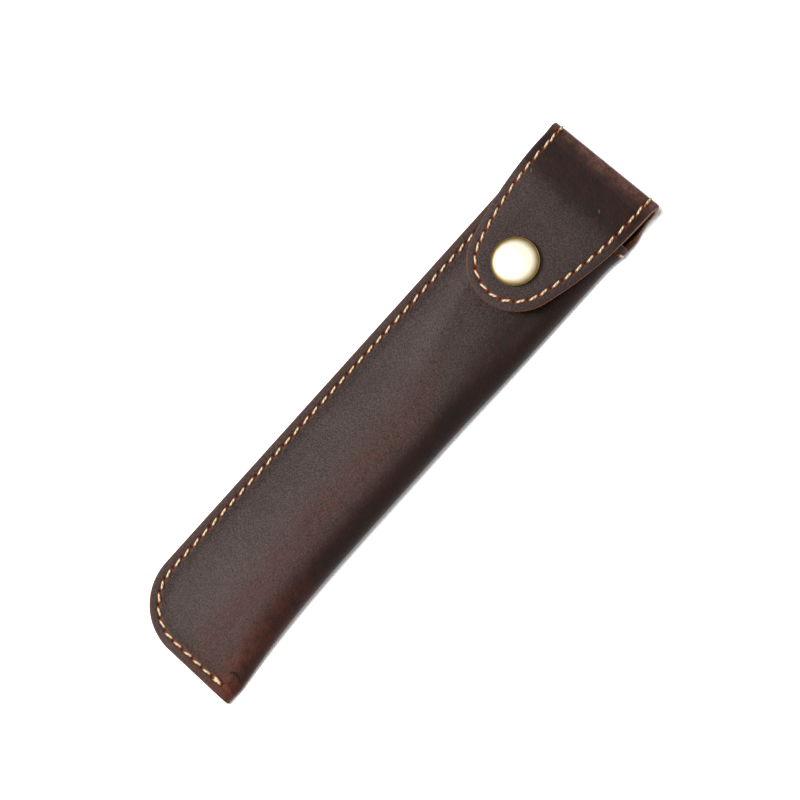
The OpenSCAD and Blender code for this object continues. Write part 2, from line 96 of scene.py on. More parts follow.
left_x = -flat_w / 2
bottom_y = -sleeve_length / 2
top_y = sleeve_length / 2
mouth_y = top_y - mouth_drop
corner = np.array([left_x + corner_r, bottom_y + corner_r])
flap_left = flap_x - flap_w / 2
flap_right = flap_x + flap_w / 2
stud_y = top_y - stud_drop
flat_h = 2 * leather_t + glue_gap
flap_under = mouth_h + stud_gap
flap_top = flap_under + leather_t
bend_r = (flap_top - edge_lift) / 2
bend_y = top_y - bend_r
bend_z = edge_lift + bend_r
drop_end = stud_y - flat_pad
print("sleeve", sleeve_length, "x", flat_w, "mm, flap", flap_w, "mm wide")

# %% [markdown]
# The form of the pocket is a few smooth curves. A smooth step eases every change, so no
# crease shows where one part of the leather passes into the next.

# %% Curves of the pocket


def lerp(a, b, t):
    """a at t 0, b at t 1, straight in between."""
    return a + (b - a) * t


def onward(start, end, steps):
    """Even steps from start to end, without the start itself."""
    return lerp(start, end, np.linspace(0, 1, steps + 1)[1:])


def joined(*parts, axis=0):
    """One array from several, end to end."""
    return np.concatenate(parts, axis=axis)


def points_of(*coordinates):
    """Points from their coordinates, which are numbers and arrays that fit together."""
    return np.stack(np.broadcast_arrays(*coordinates), axis=-1)


def smooth(t):
    """A step from 0 to 1 that starts and ends level: 3t^2 - 2t^3."""
    t = np.clip(t, 0, 1)
    return t * t * (3 - 2 * t)


def bell(t):
    """1 where t is 0, and fading to both sides: e^(-t^2)."""
    return np.exp(-(t**2))


def edge_x(y, inset):
    """Left outline at height y, moved in by inset: a straight side and an arc below it."""
    drop = np.maximum(corner[1] - y, 0)
    return corner[0] - np.sqrt(np.maximum((corner_r - inset) ** 2 - drop**2, 0))


def edge_distance(x, y):
    """Distance of a point from the sewn outline."""
    round_part = corner_r - np.hypot(x - corner[0], y - corner[1])
    straight = np.minimum(x - left_x, y - bottom_y)
    return np.where((x < corner[0]) & (y < corner[1]), round_part, straight)


def lift(x, y):
    """Height of the back above the table: the sewn margins curl up a little."""
    return edge_lift * (1 - smooth(edge_distance(x, y) / margin_w))


def crest_drop(y):
    return smooth((y - drop_end + crest_drop_length) / crest_drop_length)


def tube_h(y):
    """Outside height of the pocket: flat at the bottom, full in the middle, lower at the stud."""
    fill = 1 - (1 - np.clip((y - bottom_y - margin_w) / fill_length, 0, 1)) ** 4
    return lerp(fold_end_h, lerp(full_h, mouth_h, crest_drop(y)), fill)


def fold_r(y):
    return (tube_h(y) - leather_t) / 2


def fold_w(y):
    return fold_r(y) * lerp(fold_stretch, 1, crest_drop(y))


def crest_x(y):
    return left_x + lerp(crest_from_edge, mouth_crest_from_edge, crest_drop(y))


def quarter_length(a, b):
    """Length of a quarter of an ellipse."""
    return math.pi / 4 * (3 * (a + b) - np.sqrt((3 * a + b) * (a + 3 * b)))


def round_length(y):
    r, w = fold_r(y), fold_w(y)
    return quarter_length(r, r) + quarter_length(w, r) + r - w


girth = 2 * flat_w - fold_end_h + round_length(bottom_y)


def fold_x(y):
    """Where the fold starts. The girth stays the same, so the fold draws in as the pocket fills."""
    rise_extra = rise_shortens * (tube_h(y) - flat_h) ** 2 / (crest_x(y) - left_x - margin_w)
    return left_x + (girth - round_length(y) - rise_extra) / 2


def back_mid(x, y):
    return lift(x, y) + leather_t / 2


def front_mid(x, y):
    """Middle surface of the front: flat on the seam, then a soft S up to the crest. Near the
    bottom the S starts on a flatter arc than the outline's, so it leaves no crease there."""
    drop = corner_share * np.maximum(corner[1] - y, 0)
    start = corner[0] - np.sqrt(corner_r**2 - drop**2) + margin_w
    along = np.clip((x - start) / (crest_x(y) - start), 0, 1) ** s_lean
    rise = (1 - np.cos(math.pi * along)) / 2
    return lift(x, y) + 1.5 * leather_t + glue_gap + (tube_h(y) - flat_h) * rise


print("girth", round(float(girth), 2), "mm")

# %% [markdown]
# A cut leather edge is a band as thick as the leather, with softly rounded corners. So a
# sheet is made in three steps: a middle surface on a grid that stops a little inside the
# outline, that surface pushed out to both sides for the grain side and the flesh side, and a
# rounded profile carried along the cut edge.

# %% Meshes from arrays
rim_r = 0.4
rim_angles = np.radians([60, 30, 0])


def unit(v):
    return v / np.maximum(np.linalg.norm(v, axis=-1, keepdims=True), 1e-12)


def make_piece(name, points, faces, sharp_from=50, **values):
    """A mesh object from points in millimetres, faces, and an array of numbers or vectors
    for each attribute. The attribute spot is the place at rest, in millimetres. Blender
    turns the faces outward, as every piece of the object is a closed mesh."""
    mesh = bpy.data.meshes.new(name)
    mesh.from_pydata((np.asarray(points) * MM).tolist(), [], faces)
    values["spot"] = points
    for key, numbers in values.items():
        numbers = np.asarray(numbers, np.float32)
        kind, field = ("FLOAT", "value") if numbers.ndim == 1 else ("FLOAT_VECTOR", "vector")
        mesh.attributes.new(key, kind, "POINT").data.foreach_set(field, numbers.ravel())
    shape = bmesh.new()
    shape.from_mesh(mesh)
    bmesh.ops.recalc_face_normals(shape, faces=shape.faces)
    shape.to_mesh(mesh)
    shape.free()
    mesh.shade_smooth()
    mesh.set_sharp_from_angle(angle=math.radians(sharp_from))
    piece = bpy.data.objects.new(name, mesh)
    bpy.context.collection.objects.link(piece)
    return piece


def whole(quads):
    """Quads as lists; a quad with two corners on one point becomes a triangle."""
    twice = (quads == np.roll(quads, 1, axis=1)).any(axis=1)
    thin = [list(dict.fromkeys(q)) for q in quads[twice].tolist()]
    return quads[~twice].tolist() + [q for q in thin if len(q) > 2]


def grid_faces(ids):
    """Quads between the neighbours of a grid of point numbers."""
    return np.stack([ids[:-1, :-1], ids[:-1, 1:], ids[1:, 1:], ids[1:, :-1]], axis=-1).reshape(-1, 4)


def rim_profile():
    """Height above the middle and distance out from the inset line, grain side to flesh side."""
    flat = leather_t / 2 - rim_r
    height = flat + rim_r * np.sin(rim_angles)
    out = rim_r * np.cos(rim_angles)
    return joined(height, -height[::-1]), joined(out, out[::-1])


def chain_outward(points, normals):
    """Outward direction along a cut edge, in the leather's plane, mitred at its corners."""
    along = unit(np.diff(points, axis=0))
    side = unit(np.cross((normals[:-1] + normals[1:]) / 2, along))
    before = joined(side[:1], side)
    after = joined(side, side[-1:])
    return (before + after) / (1 + np.sum(before * after, axis=1, keepdims=True))


def nearest(points, line):
    """For each point, the number of the line's nearest sample, and how far away it is."""
    far = np.linalg.norm(points[:, None] - line[None], axis=-1)
    return far.argmin(axis=1), far.min(axis=1)


def stitch_place(points, runs):
    """For each point, its place along the nearest run of stitches, in pitches, where whole
    numbers are needle holes, and its distance from that run in millimetres."""
    place = np.tile([0.0, np.inf, 0.0], (len(points), 1))
    for run in runs:
        i, far = nearest(points, run["points"])
        along = run["length"][i] + np.sum((points - run["points"][i]) * run["along"][i], axis=1)
        closer = far < place[:, 1]
        place[closer, 0] = (along / run["pitch"])[closer]
        place[closer, 1] = far[closer]
    return place


def leather_sheet(name, mid, normal, cells, chains, joins, runs, **values):
    """A closed sheet. Its two skins lie half a thickness off the middle. A rounded rim runs
    along each chain of cut edge points, and a flat wall closes each row of points where
    another piece carries the sheet on."""
    half = len(mid)
    height, out = rim_profile()
    edges = np.concatenate([mid[chain] for chain in chains])
    values.update(stitch=stitch_place(mid, runs), edge=nearest(mid, edges)[1])
    points = [mid + normal * leather_t / 2, mid - normal * leather_t / 2]
    source = [np.arange(half), np.arange(half)]
    side = [np.ones(half), -np.ones(half)]
    quads, caps, count = [cells, half + cells], [], 2 * half
    for chain in chains:
        away = chain_outward(mid[chain], normal[chain])
        rim = mid[chain] + away * out[:, None, None] + normal[chain] * height[:, None, None]
        rim_ids = count + np.arange(len(height) * len(chain)).reshape(len(height), -1)
        bands = joined(chain[None], rim_ids, half + chain[None])
        points.append(rim.reshape(-1, 3))
        source.append(np.tile(chain, len(height)))
        side.append(np.repeat(height / (leather_t / 2), len(chain)))
        quads.append(grid_faces(bands))
        caps += [bands[:, 0].tolist(), bands[::-1, -1].tolist()]
        count += rim_ids.size
    points, source = np.concatenate(points), np.concatenate(source)
    quads += [grid_faces(np.stack([row, half + row])) for row in joins]
    faces = whole(np.concatenate(quads))
    per_point = {key: v[source] for key, v in values.items()}
    per_point["cut"] = (np.arange(count) >= 2 * half).astype(float)
    return make_piece(name, points, faces + caps, side=np.concatenate(side), **per_point)


print("rim of", 2 * len(rim_angles), "loops")

# %% [markdown]
# The body is the big piece: one sheet from the sewn edge across the back, round the fold
# and over the front to the sewn edge again. Its grid has a row for each height Y and a
# column for each place round the girth.

# %% The body's middle surface
nudge = 0.02


def surface_normal(place, a, b, step, low=-np.inf, high=np.inf):
    """Normal of a surface from its steps along its two parameters; a stays within limits."""
    along_a = place(np.minimum(a + step, high), b) - place(np.maximum(a - step, low), b)
    along_b = place(a, b + step) - place(a, b - step)
    return unit(np.cross(along_a, along_b))


def sheet_at(x, y, height, up):
    """Points and normals of a surface z = height(x, y): up is 1 for a top, -1 for an underside."""

    def place(x, y):
        return points_of(x, y, height(x, y))

    return place(x, y), up * surface_normal(place, x, y, nudge)


def fold_point(f, y):
    """Point of the fold, f 0 at the back and 1 at the front: half a circle whose upper
    quarter is stretched sideways to an ellipse."""
    r = fold_r(y)
    w = np.where(f < 0.5, r, fold_w(y))
    x = fold_x(y) + r - w + w * np.sin(math.pi * f)
    z = lift(fold_x(y), y) + leather_t / 2 + r * (1 - np.cos(math.pi * f))
    return points_of(x, y, z)


print("at the mouth the fold starts at x", round(float(fold_x(mouth_y)), 2), "mm")

# %% [markdown]
# The grid's rows are close together round the bottom corner and near the stud, where the
# form changes fast. Its columns follow the form too: the sewn margin, the flat back, the
# fold, the crest of the front, the slope down from it, and the margin again.

# %% The pocket's grid
corner_rows, body_step, stud_rows = 26, 1.2, 32
margin_columns, back_columns, open_columns, fold_columns = 8, 14, 10, 22
crest_columns, front_columns = 5, 24
turn = np.linspace(0, math.pi / 2, corner_rows + 1)
rows_y = joined(
    corner[1] - (corner_r - rim_r) * np.cos(turn),
    np.arange(corner[1] + body_step, drop_end, body_step),
    np.linspace(drop_end, mouth_y - rim_r, stud_rows))
margins = np.linspace(0, margin_w - rim_r, margin_columns)
mouth_r = float(fold_r(mouth_y))
step_length = flap_right - float(fold_x(mouth_y)) - rim_r
step_f = step_length / (math.pi * mouth_r)
Y = rows_y[:, None]
edge = edge_x(Y, rim_r)
back_x = joined(edge + margins, onward(edge + margins[-1], fold_x(Y), back_columns), axis=1)
fold_top_x = fold_x(Y) + fold_r(Y) - fold_w(Y)
front_x = joined(
    onward(fold_top_x, crest_x(Y), crest_columns),
    onward(crest_x(Y), edge + margins[-1], front_columns),
    edge + margins[::-1][1:], axis=1)
fold_f = joined(onward(0, step_f, open_columns), onward(step_f, 1, fold_columns))
back, back_n = sheet_at(back_x, Y, back_mid, -1)
front, front_n = sheet_at(front_x, Y, front_mid, 1)
fold, fold_n = fold_point(fold_f, Y), -surface_normal(fold_point, fold_f, Y, 1e-4, 0, 1)
flare_out, flare_from, flare_width, flare_reach = 0.9, 9.0, 6.0, 4.5


def mouth_flare(points):
    """The mouth's corner on the fold springs out a little, where the cut lets it."""
    x, y = points[..., 0], points[..., 1]
    out = flare_out * smooth((x - flare_from) / flare_width) * bell((y - mouth_y) / flare_reach)
    return points + out[..., None] * [1, 0, 0]


pocket = mouth_flare(joined(back, fold, front, axis=1))
pocket_n = joined(back_n, fold_n, front_n, axis=1)
step_column = back_x.shape[1] + open_columns - 1
print("pocket grid", pocket.shape[:2], "step column", step_column)

# %% [markdown]
# Above the mouth the sheet narrows to the flap's width, rises from the table and loses the
# curl of the fold. It goes on from the pocket's last row, so both have the same columns.

# %% The back above the mouth
upper_rows, waist, back_rises = 13, 0.8, 1.1


def back_rise(y):
    return smooth((y - mouth_y) / (bend_y - mouth_y))


def back_edge(y):
    return lerp(left_x, flap_left, back_rise(y))


def curl(s, y):
    """Arc of length s whose curvature fades from the fold's to none as the back rises."""
    k = np.maximum((1 - back_rise(y)) / mouth_r, 1e-6)
    return np.sin(k * s) / k, (1 - np.cos(k * s)) / k


upper_y = onward(mouth_y - rim_r, bend_y, upper_rows)
U = upper_y[:, None]
fold_start = float(fold_x(mouth_y))
base_x = pocket[-1, : back_x.shape[1], 0]
flat_part = lerp(back_edge(U) + rim_r, fold_start, (base_x - base_x[0]) / (fold_start - base_x[0]))
curl_s = onward(0, 1, open_columns) * (step_length - waist * back_rise(U))
curl_x, curl_z = curl(curl_s, U)
upper_x = joined(flat_part, fold_start + curl_x, axis=1)
margin_lift = lerp(lift(base_x, mouth_y), edge_lift, back_rise(U))
fold_lift = lerp(0, edge_lift, back_rise(U))
upper_z = leather_t / 2 + joined(margin_lift, fold_lift + curl_z, axis=1)
upper_z += back_rises * ((U - mouth_y) / (bend_y - mouth_y)).clip(0, 1) ** 2
upper = mouth_flare(points_of(upper_x, U, upper_z))
tall = joined(pocket[-2:, : step_column + 1], upper)
tall_n = unit(np.cross(np.gradient(tall, axis=0), np.gradient(tall, axis=1)))
upper_n = tall_n[2:]
print("upper back grid", upper.shape[:2])

# %% [markdown]
# The stitches come before the sheets, because the leather needs to know where each needle
# hole is. A run of stitches is a line on the leather's middle surface with a normal at every
# sample, so the same run gives the thread on both sides and the holes in between.

# %% Runs of stitches
sample, fewest_samples = 0.3, 4


def stitch_run(points, normals, pitch=stitch_pitch):
    """A run through the points: samples at even steps, with the direction along it."""
    steps = np.linalg.norm(np.diff(points, axis=0), axis=1)
    length = joined([0], np.cumsum(steps))
    even = np.linspace(0, length[-1], max(fewest_samples, round(length[-1] / sample)))
    points = np.stack([np.interp(even, length, points[:, i]) for i in range(3)], axis=-1)
    normals = unit(np.stack([np.interp(even, length, normals[:, i]) for i in range(3)], axis=-1))
    along = np.gradient(points, axis=0)
    along = unit(along - np.sum(along * normals, axis=1, keepdims=True) * normals)
    count = max(1, round(length[-1] / pitch))
    return {"points": points, "normals": normals, "along": along, "length": even,
            "pitch": length[-1] / count, "count": count}


def on_surface(line, height, up):
    return stitch_run(*sheet_at(line[:, 0], line[:, 1], height, up))


seam_starts, seam_ends = mouth_y - 1, left_x + flat_w - 4
side_y = np.linspace(seam_starts, corner[1], 60)
side_line = points_of(left_x + stitch_margin, side_y)
arc = onward(0, math.pi / 2, 39)
corner_arc = corner - (corner_r - stitch_margin) * points_of(np.cos(arc), np.sin(arc))
bottom_x = onward(corner[0], seam_ends, 29)
bottom_line = points_of(bottom_x, bottom_y + stitch_margin)
seam_line = joined(side_line, corner_arc, bottom_line)
seam_front, seam_back = on_surface(seam_line, front_mid, 1), on_surface(seam_line, back_mid, -1)

mouth_row = int(np.abs(rows_y - (mouth_y - stitch_margin)).argmin())
mouth_part = slice(step_column, 1 - margin_columns)
mouth_run = stitch_run(pocket[mouth_row, mouth_part], pocket_n[mouth_row, mouth_part])
left_line = points_of(back_edge(upper_y) + stitch_margin, upper_y, upper_z[:, 0])
back_left_run = stitch_run(left_line, np.tile([0.0, 0.0, -1.0], (len(upper_y), 1)))
seam_column = -4
right_x, _ = curl(step_length + rim_r - stitch_margin - waist * back_rise(U), U)
right_line = points_of(fold_start + right_x[:, 0], upper_y, upper_z[:, seam_column])
back_right_run = stitch_run(mouth_flare(right_line), upper_n[:, seam_column])
body_runs = [seam_front, seam_back, mouth_run, back_left_run, back_right_run]
print("stitches in the body's runs:", [run["count"] for run in body_runs])

# %% [markdown]
# Now the pocket and the back above it become one sheet. Its cut edge is one chain of points
# from the bend down the left side, along the bottom, up the front's sewn edge, along the
# mouth and up to the bend again. Wear, bloom and painted light are worked out as attributes.

# %% The body's sheet
wide, narrow = pocket.shape[1], step_column + 1
ids = np.arange(pocket.shape[0] * wide).reshape(-1, wide)
upper_ids = ids.size + np.arange(upper.shape[0] * narrow).reshape(-1, narrow)
back_ids = joined(ids[-1:, :narrow], upper_ids)
body_mid = joined(pocket.reshape(-1, 3), upper.reshape(-1, 3))
body_n = joined(pocket_n.reshape(-1, 3), upper_n.reshape(-1, 3))
body_cells = joined(grid_faces(ids), grid_faces(back_ids))
body_chain = joined(
    upper_ids[::-1, 0], ids[::-1, 0], ids[0, 1:], ids[1:, -1],
    ids[-1, step_column:-1][::-1], upper_ids[:, -1])
fold_rub_light_x, fold_rub_light_w, fold_rub_light_top, fold_rub_light_eases, corner_rub_r = 13.5, 3.2, -38, 22, 5.5
crest_highlight_w, crest_highlight_top, crest_highlight_eases = 4.5, 30, 40


def rub_and_painted_light(points):
    """How reddish the leather is painted: wear with painted reflected light along the fold, a
    painted highlight faintly on the crest of the front, and most of all wear at the fold's bottom
    corner."""
    x, y, z = points.T
    # Along the fold: wear, with painted reflected light on the fold's outer side.
    fold_rub_and_light = bell((x - fold_rub_light_x) / fold_rub_light_w) * smooth((fold_rub_light_top - y) / fold_rub_light_eases)
    at_corner = bell(np.hypot(x - flat_w / 2 + 0.5, y - bottom_y) / corner_rub_r)
    # On the crest: a painted highlight.
    crest_highlight = bell((x - crest_x(y) - 1) / crest_highlight_w) * smooth((crest_highlight_top - y) / crest_highlight_eases)
    return np.clip((0.55 * fold_rub_and_light + 0.3 * crest_highlight) * (z > 2) + at_corner, 0, 1)


def bloom(points):
    """Where the grain side keeps the powdery haze of its wax with a painted sheen: 1 to just past
    the crest, falling to 0 towards the fold, where the leather is painted in shade.
    """
    x, y = points[:, 0], points[:, 1]
    return 1 - smooth((x - crest_x(y) - 2.5) / (fold_x(y) - crest_x(y) + 0.5))


body = leather_sheet(
    "body", body_mid, body_n, body_cells, [body_chain], [upper_ids[-1]], body_runs,
    worn=0 * body_mid[:, 0], red=rub_and_painted_light(body_mid), bloom=bloom(body_mid))
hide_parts("hide")
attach(body, "sleeve")
print("body", len(body.data.polygons), "faces")

# %% [markdown]
# The flap is cut with straight sides that run into a round tip. A grid of rays suits it: one
# ray for each point of the outline, from the outline in to the middle line, and all rays of
# the round tip meet in the centre of its arc, under the press stud's cap.

# %% Flap
shoulder_p = tip_offset - tip_r * math.sin(shoulder_angle)
shoulder_w = tip_r * math.cos(shoulder_angle)
tip_centre_y = stud_y + tip_offset
tip_y = tip_centre_y - tip_r


def side_w(p):
    """Half width of the flap at a distance p above the stud: it widens along half a parabola."""
    q = np.clip((p - shoulder_p) / (shoulder_length - shoulder_p), 0, 1)
    return lerp(shoulder_w, flap_w / 2, 1 - (1 - q) ** 2)


top_falls, fall_start = 1.2, 60.0


def flap_z(x, y):
    """Top of the flap: level round the stud, bowed down at the sides and at the tip, and
    falling a little towards the fold."""
    fall = np.clip((y - fall_start) / (bend_y - fall_start), 0, 1.2)
    bow = np.maximum(np.abs(x - flap_x) - flat_pad, 0) / (flap_w / 2 - flat_pad)
    tip = np.maximum(drop_end - y, 0) / (drop_end - tip_y)
    bowed = side_drop * bow**2 * smooth((bend_y - y) / bow_length)
    return flap_top - bowed - tip_drop * tip**2 - top_falls * fall**2


def flap_mid(x, y):
    return flap_z(x, y) - leather_t / 2


def flap_outline(inset, side_steps, tip_steps):
    """Right half of the outline from the bend to the tip, moved in by a margin."""
    p = np.linspace(bend_y - stud_y, shoulder_p, side_steps + 1)
    slope = (side_w(p + nudge) - side_w(p - nudge)) / (2 * nudge)
    sides = points_of(side_w(p) - inset * np.hypot(1, slope), stud_y + p)
    a = np.linspace(shoulder_angle, math.pi / 2, tip_steps + 1)[1:]
    tip = points_of(np.cos(a), -np.sin(a)) * (tip_r - inset) + [0, tip_centre_y]
    return joined(sides, tip)


def both_halves(half):
    """The right half of a line, then its mirror image from the tip back to the bend."""
    return joined(half, half[-2::-1] * [-1, 1])


side_steps, tip_steps, ray_steps = 34, 22, 14
outline = both_halves(flap_outline(rim_r, side_steps, tip_steps))
side_meet_y = np.linspace(bend_y, tip_centre_y, side_steps + 1)
meet_y = joined(side_meet_y, np.full(tip_steps, tip_centre_y))
meet = both_halves(points_of(0, meet_y))
rays = lerp(meet[:, None], outline[:, None], np.linspace(0, 1, ray_steps + 1)[None, :, None])
fx, fy = flap_x + rays[..., 0], rays[..., 1]
flap_points, flap_n = sheet_at(fx, fy, flap_mid, 1)


def welded(points):
    """Numbers of a grid's distinct points, and the grid with each point's new number."""
    rounded = np.round(points.reshape(-1, 3), 5)
    _, first, number = np.unique(rounded, axis=0, return_index=True, return_inverse=True)
    return first, number.reshape(points.shape[:2])


first, flap_ids = welded(flap_points)
print("flap rays", flap_points.shape[:2], "points", len(first))
flap_mids = flap_points.reshape(-1, 3)[first]
flap_normals = flap_n.reshape(-1, 3)[first]
flap_join = joined(flap_ids[0, ::-1], flap_ids[-1, 1:])
stitch_outline = both_halves(flap_outline(stitch_margin, 60, 40)) + [flap_x, 0]
flap_run = on_surface(stitch_outline, flap_mid, 1)
rub_length, rub_from_z, bloom_ends, bloom_eases = 6, 4, 61, 12


def flap_wear_and_shade(points):
    """The top fold is rubbed pale on the outside of the bend. The wax's haze and its painted
    sheen end before it, so a band before the fold is painted in shade.
    """
    _, y, z = points.T
    rubbed = smooth((y - top_y + rub_length) / rub_length) ** 1.7 * smooth((z - rub_from_z) / 4)
    return {"worn": rubbed, "red": 0 * y, "bloom": 1 - smooth((y - bloom_ends) / bloom_eases)}


flap = leather_sheet(
    "flap_leather", flap_mids, flap_normals, grid_faces(flap_ids), [flap_ids[:, -1]], [flap_join],
    [flap_run], **flap_wear_and_shade(flap_mids))
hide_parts("flap")
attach(flap, "flap_body")

# %% [markdown]
# Between the back and the flap the leather bends half a turn. On the imported model five
# stiff strips on six hinges stand in for that. Here the bend is cut in the middle of each
# strip, so each piece spans one hinge. Real leather doesn't bend in an even circle: it leans
# in at the foot and folds tightly near the top, a little lower at the left end. So the bend
# is written as a radius that changes with the angle.

# %% Top bend
strip_angle = math.pi / strips
foot, top = -math.pi / 2, math.pi / 2
bend_cuts = [foot, *(foot + strip_angle * (k + 0.5) for k in range(strips)), top]
bend_angle_knots = np.array([-100, -90, -80, -65, -45, -22, -4, 9.5, 20, 27, 36, 47, 66, 90, 100])
bend_radius_knots = np.array([
    3.96, 3.75, 3.6, 3.38, 3.25, 3.42, 3.88, 4.55, 5.18, 5.47, 5.33, 4.76, 3.98, 3.65, 3.79])
left_reach, right_reach = 0.72, 0.94


def through(t, knots, heights):
    """A smooth curve through points: a cubic between each two knots, with the slope at a knot
    taken from its neighbours."""
    slope = np.gradient(heights, knots)
    i = np.clip(np.searchsorted(knots, t) - 1, 0, len(knots) - 2)
    width = knots[i + 1] - knots[i]
    s = (t - knots[i]) / width
    ends = heights[i] * (1 + 2 * s) * (1 - s) ** 2 + heights[i + 1] * s**2 * (3 - 2 * s)
    return ends + width * (slope[i] * s * (1 - s) ** 2 - slope[i + 1] * s**2 * (1 - s))


def bend_point(angle, x):
    """Point of the bend's middle surface: its radius follows the knots above, and the left
    end reaches less far than the right."""
    r = through(np.degrees(angle), bend_angle_knots, bend_radius_knots)
    reach = lerp(left_reach, right_reach, (x - flap_left) / flap_w)
    return points_of(x, bend_y + r * np.cos(angle) * reach, bend_z + r * np.sin(angle))


def bend_normal(angle, x):
    return surface_normal(bend_point, angle, x, 1e-3)


def bend_sides(angle):
    """Left and right limits of the bend: it is waisted at the foot and flares at the fold."""
    left = flap_left - 0.3 * bell((np.degrees(angle) - 25) / 30)
    return left, flap_right - waist * (1 - smooth((angle - foot) / 1.8))


def bend_run(angles, from_side, pitch):
    left, right = bend_sides(angles)
    x = left + from_side if from_side > 0 else right + from_side
    return stitch_run(bend_point(angles, x), bend_normal(angles, x), pitch)


bend_length = 15.5
bend_sides_x = (stitch_margin, -stitch_margin)
all_angles = np.linspace(-1.57, 1.57, 90)
bend_runs = [bend_run(all_angles, side, bend_length / strips) for side in bend_sides_x]
rows_per_piece, bend_columns = 13, 45


def bend_piece(k):
    """The leather from one cut to the next, which spans the hinge between two bodies."""
    angles = np.linspace(bend_cuts[k], bend_cuts[k + 1], rows_per_piece)[:, None]
    left, right = bend_sides(angles)
    across = lerp(left + rim_r, right - rim_r, np.linspace(0, 1, bend_columns))
    points, normals = bend_point(angles, across), bend_normal(angles, across)
    ids = np.arange(points[..., 0].size).reshape(len(angles), -1)
    mids = points.reshape(-1, 3)
    piece = leather_sheet(
        f"bend_leather_{k + 1}", mids, normals.reshape(-1, 3), grid_faces(ids),
        [ids[:, -1], ids[::-1, 0]], [ids[0, ::-1], ids[-1]], bend_runs, **flap_wear_and_shade(mids))
    start, end = (bend_point(angles[[0, -1], 0], 0.0) * MM).tolist()
    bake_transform(piece)
    return piece


bend_pieces = [bend_piece(k) for k in range(strips + 1)]
for k in range(strips):
    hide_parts(f"bend_strip_{k + 1}")
print(len(bend_pieces), "bend pieces")

# %% [markdown]
# The thread is thick and waxed, and each stitch lies slanted between two needle holes. One
# stitch is a small closed tube: its middle line is an arch that dives at both ends, and its
# radius swells a little in the middle. All the stitches of a piece are computed together as
# one array. Where the seam ends at the bottom, the maker sewed the last stitch twice, so a
# second, thicker stitch lies on it.

# %% Stitches
thread_r, stitch_shown, slant = 0.32, 3.05, math.radians(12)
slant_varies, length_varies, end_slant = 0.035, 0.02, math.radians(10)
dive, stands_off, flattened = 0.5, 0.08, 0.9
tube_along = np.array([-1.0, -0.86, -0.6, 0.0, 0.6, 0.86, 1.0])
tube_sides = 8
hand = np.random.default_rng(7)


def laid(run, side, shown):
    """Every stitch of a run, one row each: its place, up, direction, half length and radius."""
    n = run["count"]
    at = (np.arange(n) + 0.5) * run["pitch"]
    i = np.clip(np.searchsorted(run["length"], at), 0, len(run["length"]) - 1)
    up, along = run["normals"][i] * side, run["along"][i]
    angle = slant + hand.normal(0, slant_varies, n)
    lie = unit(along * np.cos(angle)[:, None] + np.cross(up, along) * np.sin(angle)[:, None])
    half = shown / 2 * hand.normal(1, length_varies, n)
    return run["points"][i], up, lie, half, np.full(n, thread_r)


def stitches(name, rows, body, nodes):
    """One piece with every stitch of the given rows. Each ring of a tube sits at a place a from
    -1 to 1 along the stitch: its middle arches as 1 - a^6, and its radius swells as 1 - a^2 / 3."""
    spots, up, lie, half, radius = (np.concatenate(column) for column in zip(*rows))
    n = len(spots)
    a = tube_along[None, :, None, None]
    turn = np.linspace(0, 2 * math.pi, tube_sides, endpoint=False)[None, None, :, None]
    up, lie = up[:, None, None], lie[:, None, None]
    half, radius = half[:, None, None, None], radius[:, None, None, None]
    middle = spots[:, None, None] + lie * a * half + up * (leather_t / 2 + stands_off - dive * a**6)
    around = np.cross(up, lie) * np.cos(turn) + flattened * up * np.sin(turn)
    rings = middle + radius * (1 - a**2 / 3) * around
    shape = rings.shape[:3]
    about = [np.broadcast_to(part, shape + (1,)) for part in (a * half, np.cos(turn), np.sin(turn))]
    points = rings.reshape(-1, 3)
    ids = np.arange(len(points)).reshape(shape)
    loop = joined(ids, ids[:, :, :1], axis=2)
    quads = np.concatenate([grid_faces(tube) for tube in loop])
    faces = quads.tolist() + ids[:, 0].tolist() + ids[:, -1].tolist()
    piece = make_piece(
        name, points, faces, about=np.concatenate(about, axis=-1).reshape(-1, 3),
        tip=np.broadcast_to(np.abs(a), shape + (1,)).ravel(),
        shade=hand.uniform(0, 1, n).repeat(ids[0].size))
    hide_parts(*nodes)
    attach(piece, body)
    return piece


end_back, end_aside, end_half, end_thicker = 0.42 * stitch_pitch, 0.25, 1.62, 1.35


def sewn_twice(run):
    """The stitch laid over the last one of a run: higher, thicker and slanted the other way."""
    end, up, along = run["points"][-1], run["normals"][-1], run["along"][-1]
    aside = np.cross(up, along)
    lie = unit(along * math.cos(end_slant) - aside * math.sin(end_slant))
    place = end - along * end_back + aside * end_aside + up * thread_r / 2
    radius = thread_r * end_thicker
    return place[None], up[None], lie[None], np.array([end_half]), np.array([radius])


